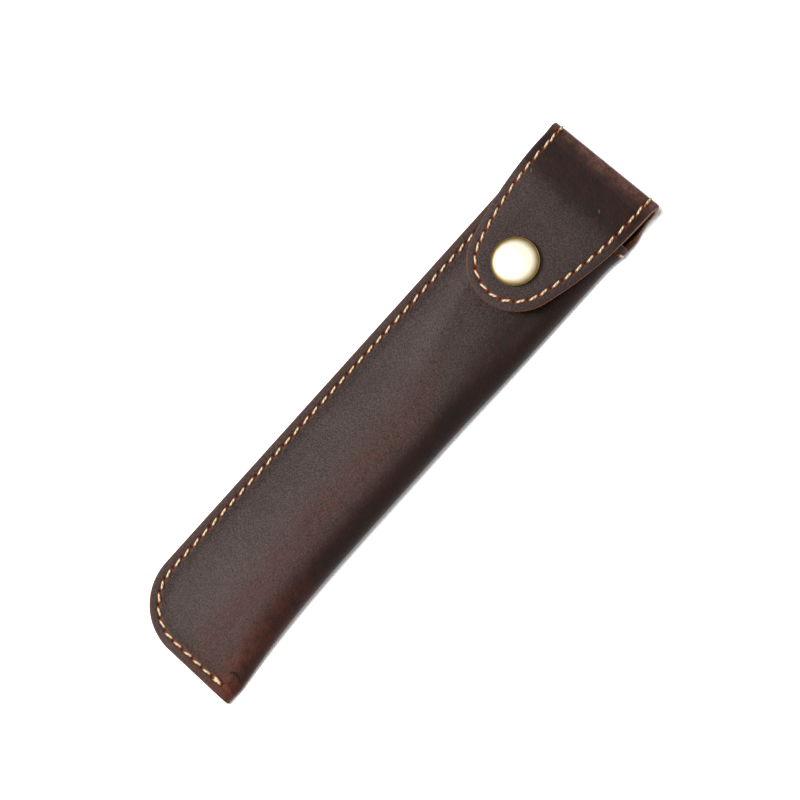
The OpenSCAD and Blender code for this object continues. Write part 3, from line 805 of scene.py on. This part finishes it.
inner_mouth, back_shown = 2.6, 2.7
bend_outside, bend_inside, one_stitch = 3.2, 1.9, 9
back_runs = [back_left_run, back_right_run]
threads = [stitches(
    "seam_thread_front", [laid(seam_front, 1, stitch_shown), sewn_twice(seam_front)],
    "sleeve", ["seam_needle_thread", "seam_backstitch"])]
for name, runs, side, shown, body_name, thread_node in [
    ("seam_thread_back", [seam_back], 1, stitch_shown, "sleeve", "seam_bobbin_thread"),
    ("mouth_thread_outside", [mouth_run], 1, stitch_shown, "sleeve", "mouth_needle_thread"),
    ("mouth_thread_inside", [mouth_run], -1, inner_mouth, "sleeve", "mouth_bobbin_thread"),
    ("back_thread_outside", back_runs, 1, back_shown, "sleeve", "back_needle_thread"),
    ("back_thread_inside", back_runs, -1, back_shown, "sleeve", "back_bobbin_thread"),
    ("flap_thread_top", [flap_run], 1, stitch_shown, "flap_body", "flap_needle_thread"),
    ("flap_thread_under", [flap_run], -1, stitch_shown, "flap_body", "flap_bobbin_thread"),
]:
    rows = [laid(run, side, shown) for run in runs]
    threads.append(stitches(name, rows, body_name, [thread_node]))
for k in range(1, strips + 1):
    angles = foot + strip_angle * (k - 1 + np.linspace(0.05, 0.95, 12))
    runs = [bend_run(angles, side, one_stitch) for side in bend_sides_x]
    rows = [laid(run, 1, bend_outside) for run in runs] + [laid(run, -1, bend_inside) for run in runs]
    threads.append(stitches(f"bend_thread_piece_{k}", rows, f"bend_{k}", [f"bend_thread_{k}"]))
print(len(threads), "thread pieces")

# %% [markdown]
# The press stud is five turned metal parts and a wire spring. The domed cap and its post hold
# the socket to the flap, the spring lies in the socket, and the stud stands on the front with
# its eyelet inside the pocket. A turned part is a profile carried round an axis, so it is
# written as the radius and height of every corner, and its corners are softened.

# %% Tools for turned parts
cap_r, cap_h, sheet_t, cap_rim_r = 6.25, 2.3, 0.35, 0.45
post_r, socket_r, roll_t, rolled_t = 1.7, 4.8, 0.25, 0.2
wire_r, neck_r, bead_r, lip_t, head_t = 0.22, 1.85, 0.42, 0.2, 0.25
play, spring_play, grip_play, lip_clearance = 0.05, 0.01, 0.06, 0.2
eyelet_r, eyelet_bore, stud_flange_r, eyelet_flange_r = 1.15, 0.8, 4.6, 4.3
socket_top = flap_under + 0.4
lip_z = mouth_h + sheet_t + 0.1
spring_z = lip_z + lip_t + wire_r + spring_play
spring_r = neck_r + wire_r + grip_play
bead_x, bead_z = neck_r - 0.1, mouth_h + 1.4
stud_axis, around = np.array([flap_x, stud_y, 0.0]), 96


def arc_line(r, z, radius, start, end, steps):
    """Points of an arc round (r, z), with angles in degrees from the level outward direction."""
    a = np.radians(np.linspace(start, end, steps))
    return points_of(r + radius * np.cos(a), z + radius * np.sin(a))


def softened(corners, radius=0.09):
    """The closed profile with each corner P replaced by a small curve between the points A and
    B before and after it: (1 - t)^2 A + 2 t (1 - t) P + t^2 B."""
    corner = np.asarray(corners, float)
    t = np.linspace(0, 1, 4)[None, :, None]
    ends = []
    for other in (np.roll(corner, 1, axis=0), np.roll(corner, -1, axis=0)):
        far = np.linalg.norm(other - corner, axis=1, keepdims=True)
        ends.append((corner + (other - corner) * np.minimum(radius / far, 0.45))[:, None])
    curve = (1 - t) ** 2 * ends[0] + 2 * t * (1 - t) * corner[:, None] + t**2 * ends[1]
    return curve.reshape(-1, 2)


def on_stud(name, grid, body, part, ring, sharp_from):
    """A metal part on the stud's axis from a grid whose columns close, and as a ring its rows
    too. Points that meet are welded."""
    first, ids = welded(grid)
    ids = joined(ids, ids[:1]) if ring else ids
    ids = joined(ids, ids[:, :1], axis=1)
    points = grid.reshape(-1, 3)[first] + stud_axis
    piece = make_piece(name, points, whole(grid_faces(ids)), sharp_from)
    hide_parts(part)
    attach(piece, body)
    return piece


def turned(name, profile, body, part):
    """A part turned round the stud's axis from a closed profile."""
    a = np.linspace(0, 2 * math.pi, around, endpoint=False)[:, None]
    r, z = profile[None, :, 0], profile[None, :, 1]
    grid = points_of(r * np.cos(a), r * np.sin(a), z)
    return on_stud(name, grid, body, part, ring=True, sharp_from=60)


print("stud axis", stud_axis)

# %% [markdown]
# The cap is a dome whose edge is rolled round a rim. The tube of its post goes through the
# leather and is rolled over inside the socket, as the eyelet's is on top of the stud.

# %% Press stud
dome_h, dome_a, dome_wall = cap_h - cap_rim_r, cap_r - cap_rim_r / 3, 0.45
dome_r = (dome_a**2 + dome_h**2) / (2 * dome_h)
dome_z = flap_top + cap_h - dome_r
dome_edge = math.degrees(math.acos(dome_a / dome_r))
rim_x, rim_z = cap_r - cap_rim_r, flap_top + cap_rim_r
inner_r = dome_r - dome_wall
inner_edge = math.degrees(math.acos((rim_x - sheet_t) / inner_r))
cap_profile = joined(
    arc_line(0, dome_z, dome_r, 90, dome_edge + 1, 26),
    arc_line(rim_x, rim_z, cap_rim_r, 42, -205, 22),
    arc_line(0, dome_z, inner_r, inner_edge, 90, 16))
cap_profile[[0, -1], 0] = 0
cap = turned("cap_dome", cap_profile, "flap_body", "cap")

flange_r = cap_r - 2 * cap_rim_r - play
tube_low = socket_top - sheet_t - roll_t
post_in = post_r - sheet_t
roll_r = post_in + 2 * sheet_t + rolled_t
post_corners = [
    [flange_r, flap_top + sheet_t], [flange_r, flap_top], [post_r, flap_top],
    [post_r, tube_low + roll_t], [roll_r, tube_low + roll_t], [roll_r, tube_low],
    [post_in, tube_low], [post_in, flap_top]]
post_profile = joined(
    [[0, flap_top + sheet_t]], softened(post_corners)[2:-2], [[0, flap_top]])
cap_post = turned("cap_post_tube", post_profile, "flap_body", "cap_post")

socket_bore, socket_in = post_r + play, socket_r - sheet_t
socket_mouth = spring_r + wire_r + lip_clearance
socket = turned("socket_cup", softened([
    [socket_bore, socket_top], [socket_r, socket_top], [socket_r, lip_z], [socket_mouth, lip_z],
    [socket_mouth, lip_z + lip_t], [socket_in, lip_z + lip_t], [socket_in, socket_top - sheet_t],
    [socket_bore, socket_top - sheet_t]], 0.2), "flap_body", "socket")

stud_in, stud_bore = neck_r - sheet_t, eyelet_r + play
head_low, head_top = bead_z - head_t, bead_z + 0.8 * head_t
stud_foot = softened([
    [stud_in, mouth_h], [stud_flange_r, mouth_h], [stud_flange_r, mouth_h + sheet_t],
    [neck_r, mouth_h + sheet_t], [neck_r, bead_z - bead_r * 0.9]], 0.15)
stud_dish = softened([[stud_bore, head_top], [stud_bore, head_low], [stud_in, head_low]], 0.08)
bead = arc_line(bead_x, bead_z, bead_r, -50, 120, 14)
stud = turned("stud_head", joined(stud_foot[2:], bead, stud_dish), "sleeve", "stud")

eyelet_seat, rolled_r, rolled_z = mouth_h - leather_t, bead_x - bead_r, head_top + rolled_t
eyelet = turned("stud_eyelet_tube", softened([
    [eyelet_bore, eyelet_seat - sheet_t], [eyelet_flange_r, eyelet_seat - sheet_t],
    [eyelet_flange_r, eyelet_seat], [eyelet_r, eyelet_seat], [eyelet_r, head_top],
    [rolled_r, head_top], [rolled_r, rolled_z], [eyelet_bore, rolled_z]]), "sleeve", "stud_eyelet")

# %% [markdown]
# The spring is a wire bent into an open ring that grips under the stud's bead. It is a round
# tube along a path, and its radius shrinks to nothing at both ends, so they are closed.

# %% Spring of the socket
wire_steps, wire_sides, round_end, half_gap = 100, 12, 4, 15
a = np.radians(np.linspace(half_gap, 360 - half_gap, wire_steps))[:, None]
step_on = np.arange(wire_steps)
past_end = np.clip(np.minimum(step_on, step_on[::-1]) / round_end, 0, 1)[:, None]
wire_size = wire_r * np.sqrt(1 - (1 - past_end) ** 2)
about = np.linspace(0, 2 * math.pi, wire_sides, endpoint=False)
r = spring_r + wire_size * np.cos(about)
spring_grid = points_of(r * np.cos(a), r * np.sin(a), spring_z + wire_size * np.sin(about))
spring = on_stud("socket_wire", spring_grid, "flap_body", "socket_spring", ring=False, sharp_from=50)
metal_parts = [cap_post, socket, stud, eyelet, spring]
for piece in [cap, *metal_parts]:
    print(piece.name, len(piece.data.polygons), "faces")

# %% [markdown]
# A finish is a tree of shader nodes. One small class wraps a socket, so that its sums are
# written as plain Python: `1 - wear` adds a Math node. Every other node comes from one
# method, which sets the node's own settings first and then gives each socket a value or a
# link.

# %% Sums on sockets


def math_sign(operation, turned_over=False):
    """The method behind a sign; turned over it serves a Mask on the right, as in 1 - mask."""

    def method(mask, other):
        first, second = (other, mask) if turned_over else (mask, other)
        tree = mask.socket.id_data
        return node(tree, "ShaderNodeMath", {0: first, 1: second}, operation=operation)

    return method


class Mask:
    """A number, colour or vector that changes over a surface: an output socket."""

    def __init__(self, socket):
        self.socket = socket

    __add__ = __radd__ = math_sign("ADD")
    __mul__ = __rmul__ = math_sign("MULTIPLY")
    __sub__, __rsub__ = math_sign("SUBTRACT"), math_sign("SUBTRACT", turned_over=True)
    __pow__, __rpow__ = math_sign("POWER"), math_sign("POWER", turned_over=True)


def fill_sockets(made, sockets):
    """Link a node's input sockets to Masks, or set them to values."""
    for key, given in sockets.items():
        if isinstance(given, Mask):
            made.id_data.links.new(given.socket, made.inputs[key])
        else:
            made.inputs[key].default_value = given


def node(tree, kind, sockets, out=0, **settings):
    """A new node: its settings, then the values or links of its sockets. One output is given
    back as a Mask."""
    made = tree.nodes.new(kind)
    for key, setting in settings.items():
        setattr(made, key, setting)
    fill_sockets(made, sockets)
    return Mask(made.outputs[out])


class Finish:
    """A material, with the few kinds of node that this object's finishes are made of."""

    def __init__(self, name):
        self.material = bpy.data.materials.new(name)
        self.material.use_nodes = True
        self.tree = self.material.node_tree
        self.shader = self.tree.nodes["Principled BSDF"]

    def add(self, kind, sockets, out=0, **settings):
        return node(self.tree, kind, sockets, out, **settings)

    def attribute(self, name, vector=False):
        return self.add("ShaderNodeAttribute", {}, 1 if vector else 2, attribute_name=name)

    def axes(self, vector):
        first = self.add("ShaderNodeSeparateXYZ", {0: vector})
        return [Mask(out) for out in first.socket.node.outputs]

    def scaled(self, vector, size):
        return self.add("ShaderNodeVectorMath", {0: vector, 1: size}, operation="MULTIPLY")

    def noise(self, vector, scale, detail, rough):
        """Cloudy noise from 0 to 1 that averages a half."""
        sockets = {"Vector": vector, "Scale": scale, "Detail": detail, "Roughness": rough}
        return self.add("ShaderNodeTexNoise", sockets)

    def step(self, value, low, high):
        """0 below low and 1 above high, eased in between; low above high turns it over."""
        if low > high:
            return 1 - self.step(value, high, low)
        sockets = {0: value, 1: low, 2: high, 3: 0.0, 4: 1.0}
        return self.add("ShaderNodeMapRange", sockets, interpolation_type="SMOOTHSTEP")

    def maths(self, value, operation):
        """A Math node that takes one number."""
        return self.add("ShaderNodeMath", {0: value}, operation=operation)

    def size(self, value):
        return self.maths(value, "ABSOLUTE")

    def mix(self, mask, a, b):
        """Colour a where the mask is 0 and colour b where it is 1."""
        return self.add("ShaderNodeMix", {0: mask, 6: a, 7: b}, 2, data_type="RGBA")

    def coated(self, colour, *coats):
        """The colour under coats, each a mask and the colour that shows where the mask is 1."""
        for mask, coat in coats:
            colour = self.mix(mask, colour, coat)
        return colour

    def bumped(self, height, depth, normal=None):
        """A normal from a height that runs from 0 to 1 over a depth in millimetres."""
        sockets = {"Height": height, "Distance": depth * MM, "Strength": 1.0}
        if normal:
            sockets["Normal"] = normal
        return self.add("ShaderNodeBump", sockets)

    def give(self, **values):
        """Set or link the shader's own sockets, written with _ for a space."""
        sockets = {key.replace("_", " "): given for key, given in values.items()}
        fill_sockets(self.shader, sockets)

    def on(self, slot, *pieces):
        for piece in pieces:
            piece.data.materials.append(self.material)


def paint(red, green, blue):
    """A colour from screen numbers 0 to 255, as the linear numbers that shaders take."""
    c = np.array([red, green, blue]) / 255
    linear = np.where(c <= 0.04045, c / 12.92, ((c + 0.055) / 1.055) ** 2.4)
    return (*map(float, linear), 1.0)


print("white is", paint(255, 255, 255))

# %% [markdown]
# Oiled leather, vegetable tanned and dyed dark brown. Its grain side has a fine pebble grain
# and soft clouds where the oil has moved. Noise of three sizes gives these, and each colour
# below is a blend that one of them steers. The dusty colour is the wax's bloom with a painted
# sheen; where the bloom mask falls to 0 the leather is bare and painted near black as shade.

# %% Oiled leather
dent_x, dent_y = 15.6, -75.0
scratches = [(-13.5, 67.6), (6.7, 70.9)]
leather = Finish("oiled_leather")
mix, step = leather.mix, leather.step
spot = leather.attribute("spot", vector=True)
run, from_run, _ = leather.axes(leather.attribute("stitch", vector=True))
from_edge, side, cut, worn, red, bloomed = (
    leather.attribute(name) for name in ("edge", "side", "cut", "worn", "red", "bloom"))

clouds = leather.noise(spot, 0.06, 3.0, 0.55)
patches = leather.noise(spot, 0.35, 3.0, 0.6)
grain = leather.noise(spot, 2.6, 5.0, 0.7)
fibres = leather.noise(leather.scaled(spot, (1.0, 1.0, 0.35)), 4.5, 3.0, 0.7)
pebble_sockets = {"Vector": spot, "Scale": 1.7, "Randomness": 1.0}
pebbles = leather.add("ShaderNodeTexVoronoi", pebble_sockets, feature="SMOOTH_F1")
mottled = patches * 0.5 + grain * 0.5

cloudy = step(clouds * 0.7 + patches * 0.3, 0.35, 0.65)
# The dusty colour is the bloom of the wax, with a painted sheen on it.
dusty_sheen = leather.coated(
    mix(cloudy, paint(50, 37, 34), paint(62, 49, 46)),
    (step(grain, 0.42, 0.66) * 0.55, paint(102, 87, 82)),
    (step(grain, 0.5, 0.32) * 0.6, paint(20, 13, 12)))
fine_spots = step(grain * 0.6 + patches * 0.4, 0.42, 0.7)
# The bare colour is painted shade, near black where the surface turns away from the light.
bare_in_shade = mix(cloudy, paint(18, 7, 5), paint(31, 14, 10))
bare_in_shade = mix(fine_spots * 0.3, bare_in_shade, paint(84, 44, 32))
grain_side = mix(step(bloomed + patches * 0.3, 0.2, 1.1), bare_in_shade, dusty_sheen)
print("nodes of the grain side:", len(leather.tree.nodes))

# %% [markdown]
# Use shows on it. The leather is lighter where it is bent or rubbed, with a painted highlight
# on the crest and painted reflected light along the fold. Each needle hole, a small dimple
# between two stitches, is painted dark as shade. A short crease, painted dark as shade too,
# marks where the round fold is pinched by the end of the bottom seam, and two small pale
# scratches are on the flap.

# %% Wear and painted light on the leather
stitched = step(from_run, 3.0, 2.0)
aside = from_edge - (stitch_margin - rim_r)
hole_sockets = {0: run + 0.5, 1: 1.0}
along_hole = leather.add("ShaderNodeMath", hole_sockets, operation="FLOORED_MODULO") - 0.5
hole_far = (along_hole * along_hole * stitch_pitch**2 + aside * aside) ** 0.5
hole = step(hole_far, 0.5, 0.2) * stitched
near_line = step(leather.size(aside), 0.7, 0.2) * stitched
handled = step(from_edge + patches * 2, 4.5, 2.5) * step(from_run, 5.0, 3.0)

x, y, z = leather.axes(spot)
crease_x = x - dent_x
crease = step(leather.size(y - dent_y + crease_x * crease_x * 0.25), 0.45, 0.05)
crease = crease * step(leather.size(crease_x), 2.2, 0.8)


def scratch(at_x, at_y):
    """1 on a short slanted scratch, and only on the flap."""
    off_x, off_y = x - at_x, y - at_y
    line = step(leather.size(off_x * 0.8 + off_y * 0.6 + patches * 0.3), 0.22, 0.1)
    near = step((off_x * off_x + off_y * off_y) ** 0.5, 0.7, 0.3)
    return line * near * step(z, mouth_h + 0.8, mouth_h + 1.2)


rubbed = mix(step(patches * 0.6 + grain * 0.4, 0.4, 0.65), paint(118, 74, 62), paint(180, 134, 120))
grain_side = leather.coated(
    grain_side,
    # Reddish where worn, with painted reflected light along the fold and a painted highlight on the
    # crest.
    (red * step(mottled, 0.3, 0.6), paint(104, 54, 40)),
    (worn * (0.35 + patches * 0.5 + grain * 0.6), rubbed),
    (near_line * step(mottled, 0.3, 0.55), paint(112, 54, 31)),
    # Painted shade in each needle hole.
    (hole * 0.85, paint(40, 15, 8)),
    (step(from_edge + patches * 0.6, 0.7, 0.2) * 0.5, paint(88, 50, 38)),
    (handled * step(z, 8.0, 6.0) * 0.1, paint(132, 98, 86)),
    *((scratch(*place) * 0.25, paint(176, 158, 152)) for place in scratches),
    # Painted shade along the crease.
    (crease * 0.7, paint(28, 16, 14)))
print("nodes with the wear:", len(leather.tree.nodes))

# %% [markdown]
# The cut edges show the tan core, and the flesh side is rough and dark brown, painted darker
# still as the shade inside the pocket. One material serves the whole sheet: the attributes
# side and cut say which part a point is on.
# The thread lies in a shallow groove, so the relief has three depths: grain, groove, crease.

# %% Core, flesh side and relief
core = mix(step(fibres, 0.35, 0.7), paint(88, 52, 36), paint(144, 98, 68))
# The flesh side: dark brown, painted darker as the shade inside the pocket.
shaded_flesh = mix(step(fibres * 0.6 + clouds * 0.4, 0.3, 0.7), paint(30, 18, 14), paint(54, 34, 26))
# Painted shade in the needle holes on the flesh side.
shaded_flesh = mix(hole * 0.8, shaded_flesh, paint(22, 12, 8))
skin = mix(step(side, 0.2, -0.2), grain_side, shaded_flesh)
groove = step(leather.size(aside), 0.9, 0.1) * stitched
relief = leather.bumped(pebbles * 0.5 + grain * 0.5, 0.16)
relief = leather.bumped(1 - groove * 0.5 - hole * 0.5, 0.35, relief)
relief = leather.bumped(patches * 0.5 - crease, 0.4, relief)
leather.give(
    Base_Color=mix(cut * step(leather.size(side), 0.98, 0.7), skin, core),
    Roughness=0.52 + grain * 0.14 + patches * 0.12,
    Normal=relief,
    Specular_IOR_Level=0.2,
)
leather.on("leather", body, flap, *bend_pieces)
print("leather nodes:", len(leather.tree.nodes))

# %% [markdown]
# Waxed thread: two plies twisted together. Their height is a wave sin(t + 2 a), where t grows
# along the stitch and a is the angle round it. The mesh carries cos(a) and sin(a) instead of
# a, because an angle would jump where the tube closes, so the wave is written out with the
# double angles. Light and shade are painted on it: a cream highlight in the middle of each
# stitch, darker shade in the groove between the plies, and orange-brown shade at both ends,
# where the stitch dives into the leather.

# %% Waxed thread
thread = Finish("waxed_thread")
length_on, cosine, sine = thread.axes(thread.attribute("about", vector=True))
tip, shade = thread.attribute("tip"), thread.attribute("shade")
twists_per_mm = 0.9
turns = length_on * (2 * math.pi * twists_per_mm)
double_cosine, double_sine = cosine * cosine - sine * sine, 2.0 * cosine * sine
twist = thread.maths(turns, "SINE") * double_cosine + thread.maths(turns, "COSINE") * double_sine
ply = twist * 0.5 + 0.5
fuzz = thread.noise(thread.attribute("spot", vector=True), 3.0, 3.0, 0.7)
# Painted highlight: cream in the middle of each stitch.
cream_highlight = thread.mix(fuzz * 0.6 + shade * 0.4, paint(240, 202, 150), paint(255, 238, 204))
# Painted shade in the groove between the two plies.
cream_highlight = thread.mix(ply ** 2.0 * 0.35, cream_highlight, paint(196, 144, 88))
# Painted shade at both ends, where each stitch dives into the leather.
shaded_ends = thread.mix(fuzz, paint(132, 58, 20), paint(204, 118, 54))
thread.give(
    Base_Color=thread.mix(thread.step(tip + fuzz * 0.3, 0.58, 0.96), cream_highlight, shaded_ends),
    Roughness=0.62 + fuzz * 0.2,
    Normal=thread.bumped(1 - ply, 0.12),
)
thread.on("thread", *threads)
print("thread nodes:", len(thread.tree.nodes))

# %% [markdown]
# The cap is brass with a satin polish and the parts under it are nickelled. Both metals carry
# faint rubbing marks: stretched noise in the roughness. Where the cap's rim meets the leather
# it is rougher and painted dark olive, a painted dark reflection.

# %% Brass and nickel
brass = Finish("satin_brass")
metal_spot = brass.attribute("spot", vector=True)
haze = brass.noise(metal_spot, 0.5, 3.0, 0.6)
marks = brass.noise(brass.scaled(metal_spot, (6.0, 0.8, 1.0)), 1.5, 3.0, 0.6)
_, _, metal_z = brass.axes(metal_spot)
# Painted dark reflection: the cap's lower rim is dark olive and rougher.
rim_dark_reflection = brass.step(metal_z + haze * 0.2, flap_top + 1.75, flap_top + 0.6)
polished = brass.mix(haze, paint(250, 242, 212), paint(255, 252, 230))
brass.give(
    Base_Color=brass.mix(rim_dark_reflection, polished, paint(128, 102, 46)),
    Metallic=1.0,
    Roughness=0.4 + haze * 0.08 + marks * 0.05 + rim_dark_reflection * 0.15,
    Normal=brass.bumped(marks, 0.004),
)
brass.on("brass", cap)

nickel = Finish("nickelled_steel")
nickel_haze = nickel.noise(nickel.attribute("spot", vector=True), 1.2, 3.0, 0.6)
nickel.give(
    Base_Color=nickel.mix(nickel_haze, paint(176, 170, 158), paint(204, 199, 188)),
    Metallic=1.0,
    Roughness=0.3 + nickel_haze * 0.12,
)
nickel.on("nickelled", *metal_parts)
print("metal nodes:", len(brass.tree.nodes) + len(nickel.tree.nodes))

# %% [markdown]
# The photograph shows the sleeve on pure white, with only a thin contact shadow beside the
# fold. The floor is matt white paper. Seen by the camera or in a reflection it also glows a
# little, so that it clips to white where nothing shades it, but it lights the object no more.

# %% Floor
reach, floor_glow = 3000, 0.22
floor_corners = [[-reach, -reach, 0], [reach, -reach, 0], [reach, reach, 0], [-reach, reach, 0]]
floor = make_piece("floor", floor_corners, [[0, 1, 2, 3]])
paper = Finish("white_paper")


def seen_directly(tree):
    """1 for rays from the camera, in a reflection or through glass, and 0 for the light itself."""
    rays = node(tree, "ShaderNodeLightPath", {}).socket.node.outputs
    camera_ray, glossy, through_glass = (
        Mask(rays[f"Is {kind} Ray"]) for kind in ("Camera", "Glossy", "Transmission"))
    any_of = camera_ray + glossy + through_glass
    return node(tree, "ShaderNodeMath", {0: any_of, 1: 1.0}, operation="MINIMUM")


black, white = (0, 0, 0, 1), (1, 1, 1, 1)
paper.give(
    Base_Color=(0.9, 0.9, 0.9, 1),
    Roughness=0.9,
    Specular_IOR_Level=0.0,
    Emission_Color=paper.mix(seen_directly(paper.tree), black, white),
    Emission_Strength=floor_glow,
)
floor.data.materials.append(paper.material)
print("floor", 2 * reach * MM, "m wide")

# %% [markdown]
# The camera looks down almost square on, leaning 15 degrees to the fold's side, through a long
# lens, as the photograph's does. A long lens far away keeps the sides nearly parallel.

# %% Camera
from mathutils import Matrix, Vector

lean, spin = math.radians(15), math.radians(48)
tilted_x = np.array([math.cos(lean), 0, -math.sin(lean)])
along_y = np.array([0.0, 1.0, 0.0])
view_back = np.array([math.sin(lean), 0, math.cos(lean)])
view_right = math.cos(spin) * along_y + math.sin(spin) * tilted_x
view_up = math.sin(spin) * along_y - math.cos(spin) * tilted_x
centre, distance = np.array([-0.77, 3.0, 5.0]), 1111.0
lens = bpy.data.cameras.new("camera")
lens.lens, lens.sensor_width = 200, 36
camera = bpy.data.objects.new("camera", lens)
bpy.context.collection.objects.link(camera)
camera_place = (centre + view_back * distance) * MM
axes = np.stack([view_right, view_up, view_back], axis=1)
camera.matrix_world = Matrix([[*axes[i], camera_place[i]] for i in range(3)] + [[0, 0, 0, 1]])
bpy.context.scene.camera = camera
print("camera", distance, "mm away")

# %% [markdown]
# Soft studio light: one broad lamp above the sewn side, a weak fill from above, a dim world,
# and a lamp for the floor alone, so that the paper is white but for the contact shadow.

# %% Light
world = bpy.data.worlds.new("studio")
bpy.context.scene.world = world
world.use_nodes = True
sky = world.node_tree
world_light = 0.13
sky_strength = seen_directly(sky) * (1 - world_light) + world_light
fill_sockets(sky.nodes["Background"], {"Strength": sky_strength, "Color": white})


def softbox(name, place, side, level):
    """A square lamp aimed at the object that lights a surface facing it to the given level."""
    place = np.array(place, float) * MM
    far = float(np.linalg.norm(place))
    lamp = bpy.data.lights.new(name, "AREA")
    lamp.size = side * MM
    lamp.energy = level * math.pi**2 * far**2
    box = bpy.data.objects.new(name, lamp)
    bpy.context.collection.objects.link(box)
    box.location = place
    box.rotation_euler = Vector(-place).to_track_quat("-Z", "Y").to_euler()
    box.visible_camera = False
    return box


def floor_group(name, state):
    """A group for light linking that lights the floor only (INCLUDE) or all but it (EXCLUDE)."""
    group = bpy.data.collections.new(name)
    group.objects.link(floor)
    group.collection_objects[0].light_linking.link_state = state
    return group


floor_only, object_only = floor_group("floor_only", "INCLUDE"), floor_group("object_only", "EXCLUDE")
for name, place, side, level, lit in [
    ("key_softbox", (-920, -620, 950), 560, 1.15, object_only),
    ("overhead_softbox", (-120, -60, 1500), 700, 0.12, object_only),
    ("floor_softbox", (25, -60, 1500), 420, 1.7, floor_only),
]:
    softbox(name, place, side, level).light_linking.receiver_collection = lit
bpy.context.scene.view_settings.view_transform = "Standard"
print("lamps:", [lamp.name for lamp in bpy.data.lights])
